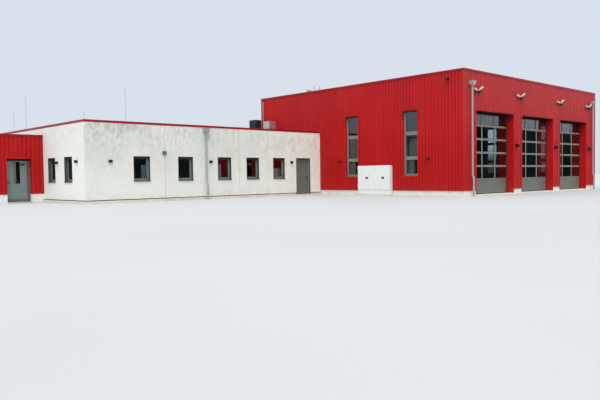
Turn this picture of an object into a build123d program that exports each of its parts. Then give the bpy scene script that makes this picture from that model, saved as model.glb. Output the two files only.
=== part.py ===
from build123d import *
import os

os.makedirs("parts", exist_ok=True)

# Fire station: a tall red vehicle hall with three glazed sectional doors, a low concrete office
# wing on its left side and a small red entrance porch on the wing's left wall.
# Millimetres. +X runs to the right along the garage front, +Y runs back, +Z up.
# The origin is on the ground under the middle of the hall.

# Vehicle hall
hall_width = 16450
hall_depth = 16200
hall_height = 6600
hall_wall = 300
hall_front_wall = 405
hall_parapet = 420
hall_roof_thickness = 300
plinth_top = 305
plinth_recess = 30
floor_level = 60

# Profiled red sheet
sheet_depth = 45
sheet_base = 10
rib_pitch = 207
rib_valley = 40
rib_web = 22
trim_leg = 120
trim_proud = 6

# Roof edge capping
cap_plate = 20
cap_drip = 110
cap_lip = 12
cap_joint = 4

# Garage bays
bay_width = 3960
bay_height = 4500
bay_first = 1175
bay_pitch = 4940
bay_last = 1435
bay_count = 3
lining = 12
flange = 70
flange_proud = 6

# Sectional doors
leaf_thickness = 60
leaf_overlap = 60
bottom_section = 850
glazed_rows = 5
glazed_columns = 3
leaf_rail = 100
leaf_mullion = 90
leaf_stile = 90
leaf_pane = 20
section_joint = 8
section_joint_depth = 6

# Tall hall windows
tall_width = 990
tall_sill = 1105
tall_head = 4705
tall_first = 2920
tall_pitch = 4330
tall_recess = 140
tall_transoms = (2095, 3470)
transom_height = 75

# Window profiles, sills and glass
frame_width = 65
frame_depth = 80
sash_width = 55
sash_set_back = 14
pane_thickness = 24
sill_thickness = 30
sill_reach = 45
sill_fall = 12

# Office wing
office_setback = 10460
office_length = 15530
office_depth = 12500
office_height = 3975
office_wall = 300
office_parapet = 330
office_roof_thickness = 250
office_plinth = 170
office_plinth_recess = 25
groove_width = 14
groove_depth = 12
panel_joints = (0.3175, 0.6743, 0.8312)

# Office windows: shares of the front from its left corner to the service door, and of the side
# from either corner to the porch
window_width = 920
window_sill = 1055
window_head = 2280
window_recess = 160
front_windows = (0.2201, 0.4104, 0.5981, 0.7472, 0.8959)
side_windows = (0.3769, 0.7882)

# Service door
service_gap = 890
service_width = 1190
door_head = 2280
door_recess = 160
service_frame_head = 60

# Entrance porch
porch_setback = 4935
porch_depth = 2630
porch_width = 2460
porch_height = 3515
porch_front_wall = 305
porch_wall = 205
porch_plinth = 450
porch_parapet = 150
porch_roof_thickness = 200
passage_width = 1100
entrance_width = 1233
entrance_head = 2265
entrance_frame_head = 95
entrance_recess = 270
entrance_fixed = 150

# Hinged doors
jamb_width = 50
jamb_depth = 80
door_thickness = 60
door_gap = 6
door_floor_gap = 10
door_seat = 10
strip_width = 310
strip_bottom = 985
strip_head = 54

# Door furniture: hinges of two knuckles, lever handles and the closer
knuckle_radius = 9
knuckle_length = 55
knuckle_gap = 0.3
knuckle_sides = 8
hinge_plate = 30
hinge_plate_thickness = 3
hinge_inset = 260
handle_height = 1050
handle_inset = 60
rose_width = 40
rose_height = 220
rose_thickness = 8
rose_corner = 8
lever_length = 125
lever_thickness = 20
lever_reach = 45
lever_corner = 6
closer_length = 185
closer_height = 80
closer_depth = 45
closer_inset = 140
closer_drop = 145
latch_width = 180
latch_height = 100
latch_corner = 15
latch_reach = 22
latch_level = 1020
latch_shift = 100

# Rainwater pipes
pipe_sides = 16
pipe_radius = 50
shoe_radius = 62
pipe_standoff = 110
pipe_offset = 70
elbow_reach = 45
hopper_width = 290
hopper_depth = 240
hopper_height = 250
hopper_bowl = 165
outlet_size = 150
clamp_height = 30
clamp_margin = 12
clamp_shares = (0.35, 0.6, 0.85)
hall_hopper_drop = 610
hall_bend_height = 1080
hall_pipe_shares = (0.528, 0.575)
office_hopper_drop = 145
office_bend_height = 900
office_pipe_share = 0.5041

# Floodlights and wedge lamps of the garage front: their shares across the piers
floodlight_shares = (0.996, 0.602, 0.76, 0.052)
floodlight_drop = 1070
floodlight_box = 100
floodlight_box_height = 105
floodlight_stub = 60
floodlight_stub_width = 46
lamp_plate_width = 120
lamp_plate_height = 110
lamp_plate_thickness = 8
head_length = 480
head_width = 90
head_thickness = 60
head_tilts = ((-1, 15, 0.72), (1, 28, 1))
driver_length = 270
driver_thickness = 45
wedge_share = 0.21
wedge_height = 2740
wedge_reach = 300
wedge_span = 290
wedge_blade = 80
wedge_width = 60
wedge_plate_height = 130

# Small box lamps on the walls, a square box over the wing's first joint and a camera
wall_lamp_height = 2020
wall_lamp_width = 160
wall_lamp_tall = 135
wall_lamp_reach = 110
office_front_lamps = (0.0944, 0.5279, 0.9695)
office_side_lamps = (0.1722, 0.6363)
hall_lamp_gaps = (680, 480)
joint_box = 200
joint_box_height = 2470
joint_box_reach = 85
joint_box_shift = 30
camera_near = 950
camera_drop = 470
camera_size = 120
camera_reach = 170

# Service cabinet beside the hall
cabinet_gap = 180
cabinet_width = 2400
cabinet_depth = 210
cabinet_height = 1715
cabinet_base = 340
cabinet_skin = 30
cabinet_leaf = 25
cabinet_feet = 60
cabinet_hinge_inset = 160

# Roof equipment, with heights above the roof that it stands on
duct_width = 600
duct_depth = 630
duct_setback = 1540
duct_rise = 1285
vent_width = 540
vent_depth = 630
vent_gap = 360
vent_lap = 400
vent_rise = 1435
rod_sides = 8
rod_radius = 12
rod_block = 300
rod_block_corner = 50
rod_block_height = 90
conductor_radius = 24
conductor_gap = 230
roof_pipe_radius = 32
roof_pipe_collar = 80
cowl_radius = 175
cowl_thickness = 80

# Lightning rods: from the wing's left, from its front or (negative) its back, height
roof_rods = ((620, -3570, 2355), (620, -1550, 1625), (3040, 1700, 2215))
corner_rod = (100, 150, 385)

# Pipes through the hall's roof: from its left, from its back, height; the last has a cowl
roof_pipes = ((700, 5080, 795), (700, 4560, 895), (700, 4100, 570))

# Lines of the plan
hall_left = -hall_width / 2
hall_right = hall_width / 2
hall_front = -hall_depth / 2
hall_back = hall_depth / 2
core_left = hall_left + sheet_depth
core_right = hall_right - sheet_depth
core_front = hall_front + sheet_depth
core_back = hall_back - sheet_depth
room_left = core_left + hall_wall
room_right = core_right - hall_wall
room_front = core_front + hall_front_wall
room_back = core_back - hall_wall
hall_wall_top = hall_height - cap_plate
hall_roof_top = hall_height - hall_parapet

office_right = hall_left - trim_proud
office_left = hall_left - office_length
office_front = hall_front + office_setback
office_back = office_front + office_depth
office_wall_top = office_height - cap_plate
office_roof_top = office_height - office_parapet
inner_left = office_left + office_wall
inner_right = office_right - office_wall
inner_front = office_front + office_wall
inner_back = office_back - office_wall

porch_right = office_left
porch_left = office_left - porch_width
porch_front = office_front + porch_setback
porch_back = porch_front + porch_depth
porch_middle = (porch_front + porch_back) / 2
porch_core_left = porch_left + sheet_depth
porch_core_front = porch_front + sheet_depth
porch_core_back = porch_back - sheet_depth
porch_inner_left = porch_core_left + porch_wall
porch_inner_front = porch_core_front + porch_front_wall
porch_inner_back = porch_core_back - porch_wall
porch_wall_top = porch_height - cap_plate
porch_roof_top = porch_height - porch_parapet

# What the bays and the end piers leave of the hall's width is shared by all the piers
bays_length = bay_first + (bay_count - 1) * bay_pitch + bay_width + bay_last
pier_share = (hall_width - bays_length) / (bay_count + 1)
bay_starts = [
    hall_left + bay_first + i * bay_pitch + (i + 1) * pier_share for i in range(bay_count)
]
pier_starts = [hall_left] + [start + bay_width for start in bay_starts]
pier_ends = bay_starts + [hall_right]

service_end = hall_left - service_gap
service_start = service_end - service_width
front_run = service_start - office_left
entrance_start = porch_left + (porch_width - entrance_width) / 2
entrance_end = entrance_start + entrance_width
passage_start = porch_middle - passage_width / 2
passage_end = porch_middle + passage_width / 2

# Each tall window is (where its left edge stands along its wall)
left_tall = [hall_front + tall_first + i * tall_pitch for i in range(2)]
right_tall = [hall_front + tall_first + i * tall_pitch for i in range(3)]
back_tall = [start + (bay_width - tall_width) / 2 for start in bay_starts]

office_front_starts = [
    office_left + share * front_run - window_width / 2 for share in front_windows
]
near_side_starts = [
    office_front + share * porch_setback - window_width / 2 for share in side_windows
]
far_side_starts = [
    office_back - share * (office_back - porch_back) - window_width / 2 for share in side_windows
]
joint_starts = [office_left + share * front_run for share in panel_joints]


def on_pier(number, share):
    """The place at a share of the way across a front pier, counted from the left."""
    return pier_starts[number] + share * (pier_ends[number] - pier_starts[number])


def across(y):
    """The upright plane at y, drawn with X to the right and Z up; a negative extrude goes back."""
    return Plane.XZ.offset(-y)


def along(x):
    """The upright plane at x, drawn with Y to the right and Z up; an extrude goes towards +X."""
    return Plane.YZ.offset(x)


def area(u0, u1, v0, v1, mode=Mode.ADD):
    """A rectangle of the open sketch between two corners."""
    with Locations(((u0 + u1) / 2, (v0 + v1) / 2)):
        Rectangle(u1 - u0, v1 - v0, mode=mode)


def slab(x0, x1, y0, y1, z0, z1, mode=Mode.ADD):
    """A level slab of the open part between two corners."""
    with BuildSketch(Plane.XY.offset(z0)) as plan:
        area(x0, x1, y0, y1)
    extrude(plan.sketch, amount=z1 - z0, mode=mode)


def tall_openings(starts, margin=0):
    """Elevation rectangles of the tall windows, each grown by a margin."""
    return [
        (start - margin, start + tall_width + margin, tall_sill - margin, tall_head + margin)
        for start in starts
    ]


def office_openings(starts):
    """Elevation rectangles of the office windows."""
    return [(start, start + window_width, window_sill, window_head) for start in starts]


def wall(plane, length, height, openings, depth):
    """A wall drawn in elevation: (start, end), (foot, top), the openings cut through it."""
    with BuildPart() as made:
        with BuildSketch(plane):
            area(*length, *height)
            for opening in openings:
                area(*opening, mode=Mode.SUBTRACT)
        extrude(amount=depth)
    return made.part


def sheet_outline(length):
    """Plan of a profiled sheet: flat back on the wall, wide crowns outside, narrow valleys."""
    count = round(length / rib_pitch)
    pitch = length / count
    points = [(0, 0), (0, sheet_base)]
    for i in range(count):
        start = i * pitch + rib_valley / 2
        end = (i + 1) * pitch - rib_valley / 2
        points += [
            (start, sheet_base),
            (start + rib_web, sheet_depth),
            (end - rib_web, sheet_depth),
            (end, sheet_base),
        ]
    points += [(length, sheet_base), (length, 0)]
    return points


def sheet(corner, direction, length, foot, top):
    """A profiled sheet standing on a wall face, its outside to the left of its direction."""
    with BuildPart() as made:
        with BuildSketch(Plane(origin=(*corner, foot), x_dir=direction, z_dir=(0, 0, 1))):
            with BuildLine():
                Polyline(*sheet_outline(length), close=True)
            make_face()
        extrude(amount=top - foot)
    return made.part


def corner_trim(x, y, to_x, to_y, foot, top):
    """An angle trim round an outer corner, over the ends of both sheets."""
    thickness = sheet_depth + trim_proud
    with BuildSketch(Plane.XY.offset(foot)) as plan:
        area(*sorted((x, x + to_x * trim_leg)), *sorted((y, y + to_y * thickness)))
        area(*sorted((x, x + to_x * thickness)), *sorted((y, y + to_y * trim_leg)))
    extrude(plan.sketch, amount=top - foot)


def capping_ring(x0, x1, y0, y1, top, depth):
    """An inverted channel on all four wall tops, in four lengths with open mitre joints."""
    inner = depth + 2 * cap_lip
    with BuildPart() as made:
        with BuildSketch(Plane.XY.offset(top - cap_drip)):
            area(x0 - cap_lip, x1 + cap_lip, y0 - cap_lip, y1 + cap_lip)
            area(
                x0 - cap_lip + inner, x1 + cap_lip - inner,
                y0 - cap_lip + inner, y1 + cap_lip - inner, mode=Mode.SUBTRACT,
            )
        extrude(amount=cap_drip)
        with BuildSketch(Plane.XY.offset(top - cap_drip)):
            area(x0, x1, y0, y1)
            area(x0 + depth, x1 - depth, y0 + depth, y1 - depth, mode=Mode.SUBTRACT)
        extrude(amount=cap_drip - cap_plate, mode=Mode.SUBTRACT)
        middle = depth / 2
        for x, y, turn in (
            (x0 + middle, y0 + middle, 45), (x1 - middle, y0 + middle, -45),
            (x0 + middle, y1 - middle, -45), (x1 - middle, y1 - middle, 45),
        ):
            with BuildSketch(Plane.XY.offset(top - cap_drip)):
                with Locations((x, y)):
                    Rectangle(2 * inner, cap_joint, rotation=turn)
            extrude(amount=cap_drip, mode=Mode.SUBTRACT)
    return made.part


def write(part, label):
    """Labels a finished piece and writes its file."""
    part.label = label
    export_step(part, f"parts/{label}.step")


# Ground floors: the hall's slab runs out through the bays, the wing's through its doors
with BuildPart() as floor_slabs:
    slab(room_left, room_right, room_front, room_back, 0, floor_level)
    for start in bay_starts:
        slab(start - lining, start + bay_width + lining, hall_front, room_front, 0, floor_level)
    slab(inner_left, inner_right, inner_front, inner_back, 0, floor_level)
    slab(service_start, service_end, office_front, inner_front, 0, floor_level)
    slab(office_left, inner_left, passage_start, passage_end, 0, floor_level)
    slab(porch_inner_left, porch_right, porch_inner_front, porch_inner_back, 0, floor_level)
    slab(entrance_start, entrance_end, porch_front, porch_inner_front, 0, floor_level)
write(floor_slabs.part, "floor_slabs")

# Hall plinth: blocks under the piers, then one strip under each other wall
with BuildPart() as hall_plinth:
    outer_left = hall_left + plinth_recess
    outer_right = hall_right - plinth_recess
    pier_edges = [outer_left]
    for start in bay_starts:
        pier_edges += [start - lining, start + bay_width + lining]
    pier_edges.append(outer_right)
    for start, end in zip(pier_edges[0::2], pier_edges[1::2]):
        slab(start, end, hall_front + plinth_recess, room_front, 0, plinth_top)
    for start, end in ((outer_left, room_left), (room_right, outer_right)):
        slab(start, end, room_front + cap_joint, room_back - cap_joint, 0, plinth_top)
    slab(outer_left, outer_right, room_back, hall_back - plinth_recess, 0, plinth_top)
write(hall_plinth.part, "hall_plinth")

# Garage front: four piers and the header beam over them
opening_edges = [core_left]
for start in bay_starts:
    opening_edges += [start - lining, start + bay_width + lining]
opening_edges.append(core_right)
with BuildPart() as hall_front_piers:
    for start, end in zip(opening_edges[0::2], opening_edges[1::2]):
        slab(start, end, core_front, room_front, plinth_top, bay_height + lining)
write(hall_front_piers.part, "hall_front_piers")

with BuildPart() as hall_front_header:
    slab(core_left, core_right, core_front, room_front, bay_height + lining, hall_roof_top)
    slab(core_left, core_right, core_front, core_front + hall_wall, hall_roof_top, hall_wall_top)
write(hall_front_header.part, "hall_front_header")

# Side and back walls of the hall, behind the sheet
side_length = (room_front, room_back)
side_height = (plinth_top, hall_wall_top)
write(wall(along(core_left), side_length, side_height,
           tall_openings(left_tall, lining), hall_wall), "hall_left_wall")
write(wall(along(room_right), side_length, side_height,
           tall_openings(right_tall, lining), hall_wall), "hall_right_wall")
write(wall(across(core_back), (core_left, core_right), side_height,
           tall_openings(back_tall, lining), hall_wall), "hall_back_wall")

with BuildPart() as flat_roofs:
    slab(room_left, room_right, room_front, room_back,
         hall_roof_top - hall_roof_thickness, hall_roof_top)
    slab(inner_left, inner_right, inner_front, inner_back,
         office_roof_top - office_roof_thickness, office_roof_top)
    slab(porch_inner_left, porch_right, porch_inner_front, porch_inner_back,
         porch_roof_top - porch_roof_thickness, porch_roof_top)
write(flat_roofs.part, "flat_roofs")

# Profiled red sheet round the hall, held back from the corners by the angle trims
sheet_margin = trim_leg - trim_proud
front_sheet = sheet((hall_right - sheet_margin, core_front), (-1, 0, 0),
                    hall_width - 2 * sheet_margin, plinth_top, hall_wall_top)
left_sheet = sheet((core_left, hall_front + sheet_margin), (0, 1, 0),
                   hall_depth - 2 * sheet_margin, plinth_top, hall_wall_top)
right_sheet = sheet((core_right, hall_back - sheet_margin), (0, -1, 0),
                    hall_depth - 2 * sheet_margin, plinth_top, hall_wall_top)
back_sheet = sheet((hall_left + sheet_margin, core_back), (1, 0, 0),
                   hall_width - 2 * sheet_margin, plinth_top, hall_wall_top)

with BuildPart() as hall_cladding:
    add(front_sheet)
    with BuildSketch(across(hall_front)):
        for start in bay_starts:
            area(start - lining, start + bay_width + lining, 0, bay_height + lining)
    extrude(amount=-sheet_depth, mode=Mode.SUBTRACT)
    add(left_sheet)
    add(right_sheet)
    add(back_sheet)
    with BuildSketch(along(hall_left)):
        for opening in tall_openings(left_tall, lining):
            area(*opening)
    extrude(amount=sheet_depth, mode=Mode.SUBTRACT)
    with BuildSketch(along(core_right)):
        for opening in tall_openings(right_tall, lining):
            area(*opening)
    extrude(amount=sheet_depth, mode=Mode.SUBTRACT)
    with BuildSketch(across(core_back)):
        for opening in tall_openings(back_tall, lining):
            area(*opening)
    extrude(amount=-sheet_depth, mode=Mode.SUBTRACT)
write(hall_cladding.part, "hall_cladding")

with BuildPart() as hall_corner_trims:
    for x, to_x in ((hall_left - trim_proud, 1), (hall_right + trim_proud, -1)):
        for y, to_y in ((hall_front - trim_proud, 1), (hall_back + trim_proud, -1)):
            corner_trim(x, y, to_x, to_y, plinth_top, hall_wall_top)
write(hall_corner_trims.part, "hall_corner_trims")

hall_cap_depth = sheet_depth + trim_proud + hall_wall
write(capping_ring(hall_left - trim_proud, hall_right + trim_proud, hall_front - trim_proud,
                   hall_back + trim_proud, hall_height, hall_cap_depth), "hall_capping")

# Folded red linings of the bays and the entrance, with a flange over the sheet
with BuildPart() as door_linings:
    for face, foot, flange_foot, start, end, head, depth in (
        *((hall_front, floor_level, plinth_top, start, start + bay_width, bay_height,
           sheet_depth + hall_front_wall) for start in bay_starts),
        (porch_front, porch_plinth, porch_plinth, entrance_start, entrance_end, entrance_head,
         sheet_depth + porch_front_wall),
    ):
        with BuildSketch(across(face)):
            area(start - lining, end + lining, foot, head + lining)
            area(start, end, foot, head, mode=Mode.SUBTRACT)
        extrude(amount=-depth)
        with BuildSketch(across(face)):
            area(start - flange, end + flange, flange_foot, head + flange)
            area(start, end, flange_foot, head, mode=Mode.SUBTRACT)
        extrude(amount=flange_proud)
write(door_linings.part, "door_linings")

# Sectional doors: five glazed rows over a solid bottom section, behind the piers
leaf_height = bay_height + leaf_overlap - floor_level
row_height = (leaf_height - bottom_section) / glazed_rows
pane_height = row_height - leaf_rail
column_width = (bay_width - leaf_mullion * (glazed_columns - 1)) / glazed_columns


def pane_places(start):
    """Corner rectangles of the panes of the door that starts here."""
    places = []
    for column in range(glazed_columns):
        u0 = start + column * (column_width + leaf_mullion)
        u0_clear = u0 + (leaf_stile - leaf_overlap if column == 0 else 0)
        u1 = u0 + column_width
        u1_clear = u1 - (leaf_stile - leaf_overlap if column == glazed_columns - 1 else 0)
        for row in range(glazed_rows):
            v0 = floor_level + bottom_section + row * row_height
            places.append((u0_clear, u1_clear, v0, v0 + pane_height))
    return places


with BuildPart() as bay_doors:
    for start in bay_starts:
        with BuildSketch(across(room_front)):
            area(start - leaf_overlap, start + bay_width + leaf_overlap,
                 floor_level, floor_level + leaf_height)
            for place in pane_places(start):
                area(*place, mode=Mode.SUBTRACT)
        extrude(amount=-leaf_thickness)
        with BuildSketch(across(room_front)):
            for row in range(glazed_rows):
                joint = floor_level + bottom_section + row * row_height - leaf_rail / 2
                area(start - leaf_overlap, start + bay_width + leaf_overlap,
                     joint - section_joint / 2, joint + section_joint / 2)
        extrude(amount=-section_joint_depth, mode=Mode.SUBTRACT)
write(bay_doors.part, "bay_doors")

with BuildPart() as bay_door_panes:
    for start in bay_starts:
        with BuildSketch(across(room_front + (leaf_thickness - leaf_pane) / 2)):
            for place in pane_places(start):
                area(*place)
        extrude(amount=-leaf_pane)
write(bay_door_panes.part, "bay_door_panes")

# Window frames, panes and sills: each kind is cut from the openings it closes
def tall_lights(start):
    """The three clear rectangles inside the frame of a tall window."""
    edges = [tall_sill + frame_width]
    for middle in tall_transoms:
        edges += [middle - transom_height / 2, middle + transom_height / 2]
    edges.append(tall_head - frame_width)
    inner = (start + frame_width, start + tall_width - frame_width)
    return [(*inner, low, high) for low, high in zip(edges[0::2], edges[1::2])]


def office_lights(start):
    """The one clear rectangle inside the frame of an office window."""
    return [(start + frame_width, start + window_width - frame_width,
             window_sill + frame_width, window_head - frame_width)]


def glass(light):
    """The glass rectangle that a sash leaves in a light."""
    u0, u1, v0, v1 = light
    return (u0 + sash_width, u1 - sash_width, v0 + sash_width, v1 - sash_width)


# Each row: outer face plane, sign of the way in, window starts
tall_walls = (
    (along, hall_left, 1, left_tall),
    (along, hall_right, -1, right_tall),
    (across, hall_back, -1, back_tall),
)
office_walls = (
    (across, office_front, 1, office_front_starts),
    (across, office_back, -1, office_front_starts),
    (along, office_left, 1, near_side_starts + far_side_starts),
    (along, office_right, -1, far_side_starts),
)


def inward(make_plane, way_in, depth):
    """The extrude amount that goes into the building from a wall's outer face."""
    return way_in * depth if make_plane is along else -way_in * depth


def window_frames(walls, recess, size, lights):
    """Frames of one kind of window, each with a sash set back in every light."""
    width, foot, head = size
    with BuildPart() as made:
        for make_plane, face, way_in, starts in walls:
            for start in starts:
                with BuildSketch(make_plane(face + way_in * recess)):
                    area(start, start + width, foot, head)
                    for light in lights(start):
                        area(*light, mode=Mode.SUBTRACT)
                extrude(amount=inward(make_plane, way_in, frame_depth))
                with BuildSketch(make_plane(face + way_in * (recess + sash_set_back))):
                    for light in lights(start):
                        area(*light)
                        area(*glass(light), mode=Mode.SUBTRACT)
                extrude(amount=inward(make_plane, way_in, frame_depth - sash_set_back))
    return made.part


tall_size = (tall_width, tall_sill, tall_head)
office_size = (window_width, window_sill, window_head)
write(window_frames(tall_walls, tall_recess, tall_size, tall_lights), "hall_window_frames")
write(window_frames(office_walls, window_recess, office_size, office_lights),
      "office_window_frames")

pane_inset = sash_set_back + (frame_depth - sash_set_back - pane_thickness) / 2
with BuildPart() as window_panes:
    for walls, recess, lights in (
        (tall_walls, tall_recess, tall_lights), (office_walls, window_recess, office_lights),
    ):
        for make_plane, face, way_in, starts in walls:
            for start in starts:
                with BuildSketch(make_plane(face + way_in * (recess + pane_inset))):
                    for light in lights(start):
                        area(*glass(light))
                extrude(amount=inward(make_plane, way_in, pane_thickness))
write(window_panes.part, "window_panes")

# Red folded flashing round the tall windows: lining of the reveal with a flange outside
with BuildPart() as window_flashings:
    for make_plane, face, way_in, starts in tall_walls:
        for start in starts:
            u0, u1 = start, start + tall_width
            with BuildSketch(make_plane(face)):
                area(u0 - lining, u1 + lining, tall_sill - lining, tall_head + lining)
                area(u0, u1, tall_sill, tall_head, mode=Mode.SUBTRACT)
            extrude(amount=inward(make_plane, way_in, tall_recess + frame_depth))
            with BuildSketch(make_plane(face)):
                area(u0 - flange, u1 + flange, tall_sill - flange, tall_head + flange)
                area(u0, u1, tall_sill, tall_head, mode=Mode.SUBTRACT)
            extrude(amount=-inward(make_plane, way_in, flange_proud))
write(window_flashings.part, "window_flashings")


def sill_section(face, way_in, level, outline):
    """Section of a sill across a wall, from depths behind its face and rises over its foot."""
    return [(face + way_in * depth, level + rise) for depth, rise in outline]


# The office sills fall outwards to a drip clear of the wall, the hall's end at the flashing
sill_front = sill_thickness - sill_fall
drip_back = cap_lip - sill_reach
tall_sill_outline = (
    (tall_recess, 0), (0, 0), (0, sill_front), (tall_recess, sill_thickness),
)
office_sill_outline = (
    (window_recess, 0), (drip_back, 0), (drip_back, -sill_thickness),
    (-sill_reach, -sill_thickness), (-sill_reach, sill_front), (window_recess, sill_thickness),
)
with BuildPart() as window_sills:
    for walls, outline, (width, foot, head) in (
        (tall_walls, tall_sill_outline, tall_size),
        (office_walls, office_sill_outline, office_size),
    ):
        for make_plane, face, way_in, starts in walls:
            cut = across if make_plane is along else along
            for start in starts:
                with BuildSketch(cut(start)):
                    with BuildLine():
                        Polyline(*sill_section(face, way_in, foot, outline), close=True)
                    make_face()
                extrude(amount=width if cut is along else -width)
write(window_sills.part, "window_sills")

# Office plinth: strips with open joints, set back under the wall panels
with BuildPart() as office_plinth_strips:
    left = office_left + office_plinth_recess
    right = office_right
    front = office_front + office_plinth_recess
    back = office_back - office_plinth_recess
    slab(left, service_start, front, inner_front, 0, office_plinth)
    slab(service_end, right, front, inner_front, 0, office_plinth)
    slab(left, inner_left, inner_front + cap_joint, passage_start, 0, office_plinth)
    slab(left, inner_left, passage_end, inner_back - cap_joint, 0, office_plinth)
    slab(left, right, inner_back, back, 0, office_plinth)
    slab(inner_right, right, inner_front + cap_joint, inner_back - cap_joint, 0, office_plinth)
    slab(porch_left + plinth_recess, entrance_start, porch_front + plinth_recess,
         porch_inner_front, 0, porch_plinth)
    slab(entrance_end, porch_right, porch_front + plinth_recess, porch_inner_front,
         0, porch_plinth)
    slab(porch_left + plinth_recess, porch_inner_left, porch_inner_front + cap_joint,
         porch_inner_back - cap_joint, 0, porch_plinth)
    slab(porch_left + plinth_recess, porch_right, porch_inner_back,
         porch_back - plinth_recess, 0, porch_plinth)
write(office_plinth_strips.part, "office_plinth")

# Office walls of cast concrete panels, with shallow upright joints
front_height = (office_plinth, office_wall_top)
with BuildPart() as office_front_wall:
    add(wall(across(office_front), (office_left, service_start), front_height,
             office_openings(office_front_starts), -office_wall))
    slab(service_end, hall_left, office_front, inner_front, office_plinth, office_wall_top)
    with BuildSketch(across(office_front)):
        for joint in joint_starts:
            area(joint, joint + groove_width, *front_height)
    extrude(amount=-groove_depth, mode=Mode.SUBTRACT)
write(office_front_wall.part, "office_front_wall")

with BuildPart() as door_lintels:
    slab(service_start, service_end, office_front, inner_front, door_head, office_wall_top)
    slab(office_left, inner_left, passage_start, passage_end, door_head, office_wall_top)
    slab(entrance_start - lining, entrance_end + lining, porch_core_front, porch_inner_front,
         entrance_head + lining, porch_roof_top)
    slab(entrance_start - lining, entrance_end + lining, porch_core_front,
         porch_core_front + porch_wall, porch_roof_top, porch_wall_top)
write(door_lintels.part, "door_lintels")

with BuildPart() as office_left_wall:
    add(wall(along(office_left), (inner_front, passage_start), front_height,
             office_openings(near_side_starts), office_wall))
    add(wall(along(office_left), (passage_end, inner_back), front_height,
             office_openings(far_side_starts), office_wall))
write(office_left_wall.part, "office_left_wall")

with BuildPart() as office_back_wall:
    add(wall(across(inner_back), (office_left, office_right), front_height,
             office_openings(office_front_starts), -office_wall))
    with BuildSketch(across(office_back)):
        for joint in joint_starts:
            area(joint, joint + groove_width, *front_height)
    extrude(amount=groove_depth, mode=Mode.SUBTRACT)
write(office_back_wall.part, "office_back_wall")

with BuildPart() as office_right_wall:
    add(wall(along(inner_right), (inner_front, inner_back), front_height,
             office_openings(far_side_starts), office_wall))
    slab(inner_right, office_right, inner_front, hall_back + trim_proud,
         office_roof_top, office_wall_top, mode=Mode.SUBTRACT)
write(office_right_wall.part, "office_right_wall")

with BuildPart() as office_capping:
    add(capping_ring(office_left, office_right, office_front, office_back,
                     office_height, office_wall))
    slab(inner_right - 2 * cap_lip, hall_right, inner_front + 2 * cap_lip,
         hall_back + 2 * trim_proud, office_height - cap_drip, office_height, mode=Mode.SUBTRACT)
    slab(office_right, hall_right, hall_front, hall_back + 2 * trim_proud,
         office_height - cap_drip, office_height, mode=Mode.SUBTRACT)
    add(capping_ring(porch_left - trim_proud, porch_right + porch_width,
                     porch_front - trim_proud, porch_back + trim_proud,
                     porch_height, sheet_depth + trim_proud + porch_wall))
    slab(porch_right, porch_right + 2 * porch_width, office_front, office_back,
         porch_height - cap_drip, porch_height, mode=Mode.SUBTRACT)
write(office_capping.part, "office_capping")

# Entrance porch: walls and sheet
porch_parapet_back = porch_core_front + porch_wall
with BuildPart() as porch_walls:
    for start, end in ((porch_core_left, entrance_start - lining), (entrance_end + lining, porch_right)):
        slab(start, end, porch_core_front, porch_inner_front, porch_plinth, porch_roof_top)
        slab(start, end, porch_core_front, porch_parapet_back, porch_roof_top, porch_wall_top)
    slab(porch_core_left, porch_inner_left, porch_inner_front + cap_joint,
         porch_inner_back - cap_joint, porch_plinth, porch_wall_top)
    slab(porch_core_left, porch_right, porch_inner_back, porch_core_back,
         porch_plinth, porch_wall_top)
write(porch_walls.part, "porch_walls")

porch_sheet_length = porch_width - sheet_margin
porch_front_sheet = sheet((porch_right, porch_core_front), (-1, 0, 0),
                          porch_sheet_length, porch_plinth, porch_wall_top)
porch_back_sheet = sheet((porch_left + sheet_margin, porch_core_back), (1, 0, 0),
                         porch_sheet_length, porch_plinth, porch_wall_top)
porch_left_sheet = sheet((porch_core_left, porch_front + sheet_margin), (0, 1, 0),
                         porch_back - porch_front - 2 * sheet_margin, porch_plinth,
                         porch_wall_top)
with BuildPart() as porch_cladding:
    add(porch_front_sheet)
    with BuildSketch(across(porch_front)):
        area(entrance_start - lining, entrance_end + lining, 0, entrance_head + lining)
    extrude(amount=-sheet_depth, mode=Mode.SUBTRACT)
    add(porch_left_sheet)
    add(porch_back_sheet)
    for y, to_y in ((porch_front - trim_proud, 1), (porch_back + trim_proud, -1)):
        corner_trim(porch_left - trim_proud, y, 1, to_y, porch_plinth, porch_wall_top)
write(porch_cladding.part, "porch_cladding")

# Hinged doors: the entrance hinges on its right beside a fixed strip, the service door on its
# left. Each hinge has a knuckle on the leaf over a knuckle on the frame, on one upright axis.
entrance_face = porch_front + entrance_recess
entrance_leaf_left = entrance_start + jamb_width + door_gap
entrance_leaf_right = entrance_end - entrance_fixed - door_gap
entrance_leaf_top = entrance_head - entrance_frame_head - door_gap
entrance_leaf_face = entrance_face - door_seat
entrance_hinge = (entrance_leaf_right + door_gap / 2, entrance_leaf_face - knuckle_radius)

service_face = office_front + door_recess
service_leaf_left = service_start + jamb_width + door_gap
service_leaf_right = service_end - jamb_width - door_gap
service_leaf_top = door_head - service_frame_head - door_gap
service_leaf_face = service_face - door_seat
service_hinge = (service_leaf_left - door_gap / 2, service_leaf_face - knuckle_radius)


def hinge_levels(foot, top, inset):
    """Feet of a leaf's hinges: one near its foot, one near its top and one halfway."""
    low, high = foot + inset, top - inset
    return (low, (low + high) / 2, high)


entrance_levels = hinge_levels(floor_level, entrance_leaf_top, hinge_inset)
service_levels = hinge_levels(floor_level, service_leaf_top, hinge_inset)
cabinet_levels = hinge_levels(cabinet_base, cabinet_height, cabinet_hinge_inset)[0::2]


def sorted_slab(x0, x1, y0, y1, z0, z1):
    """A slab whose corners may come in either order."""
    slab(min(x0, x1), max(x0, x1), min(y0, y1), max(y0, y1), z0, z1)


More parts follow.
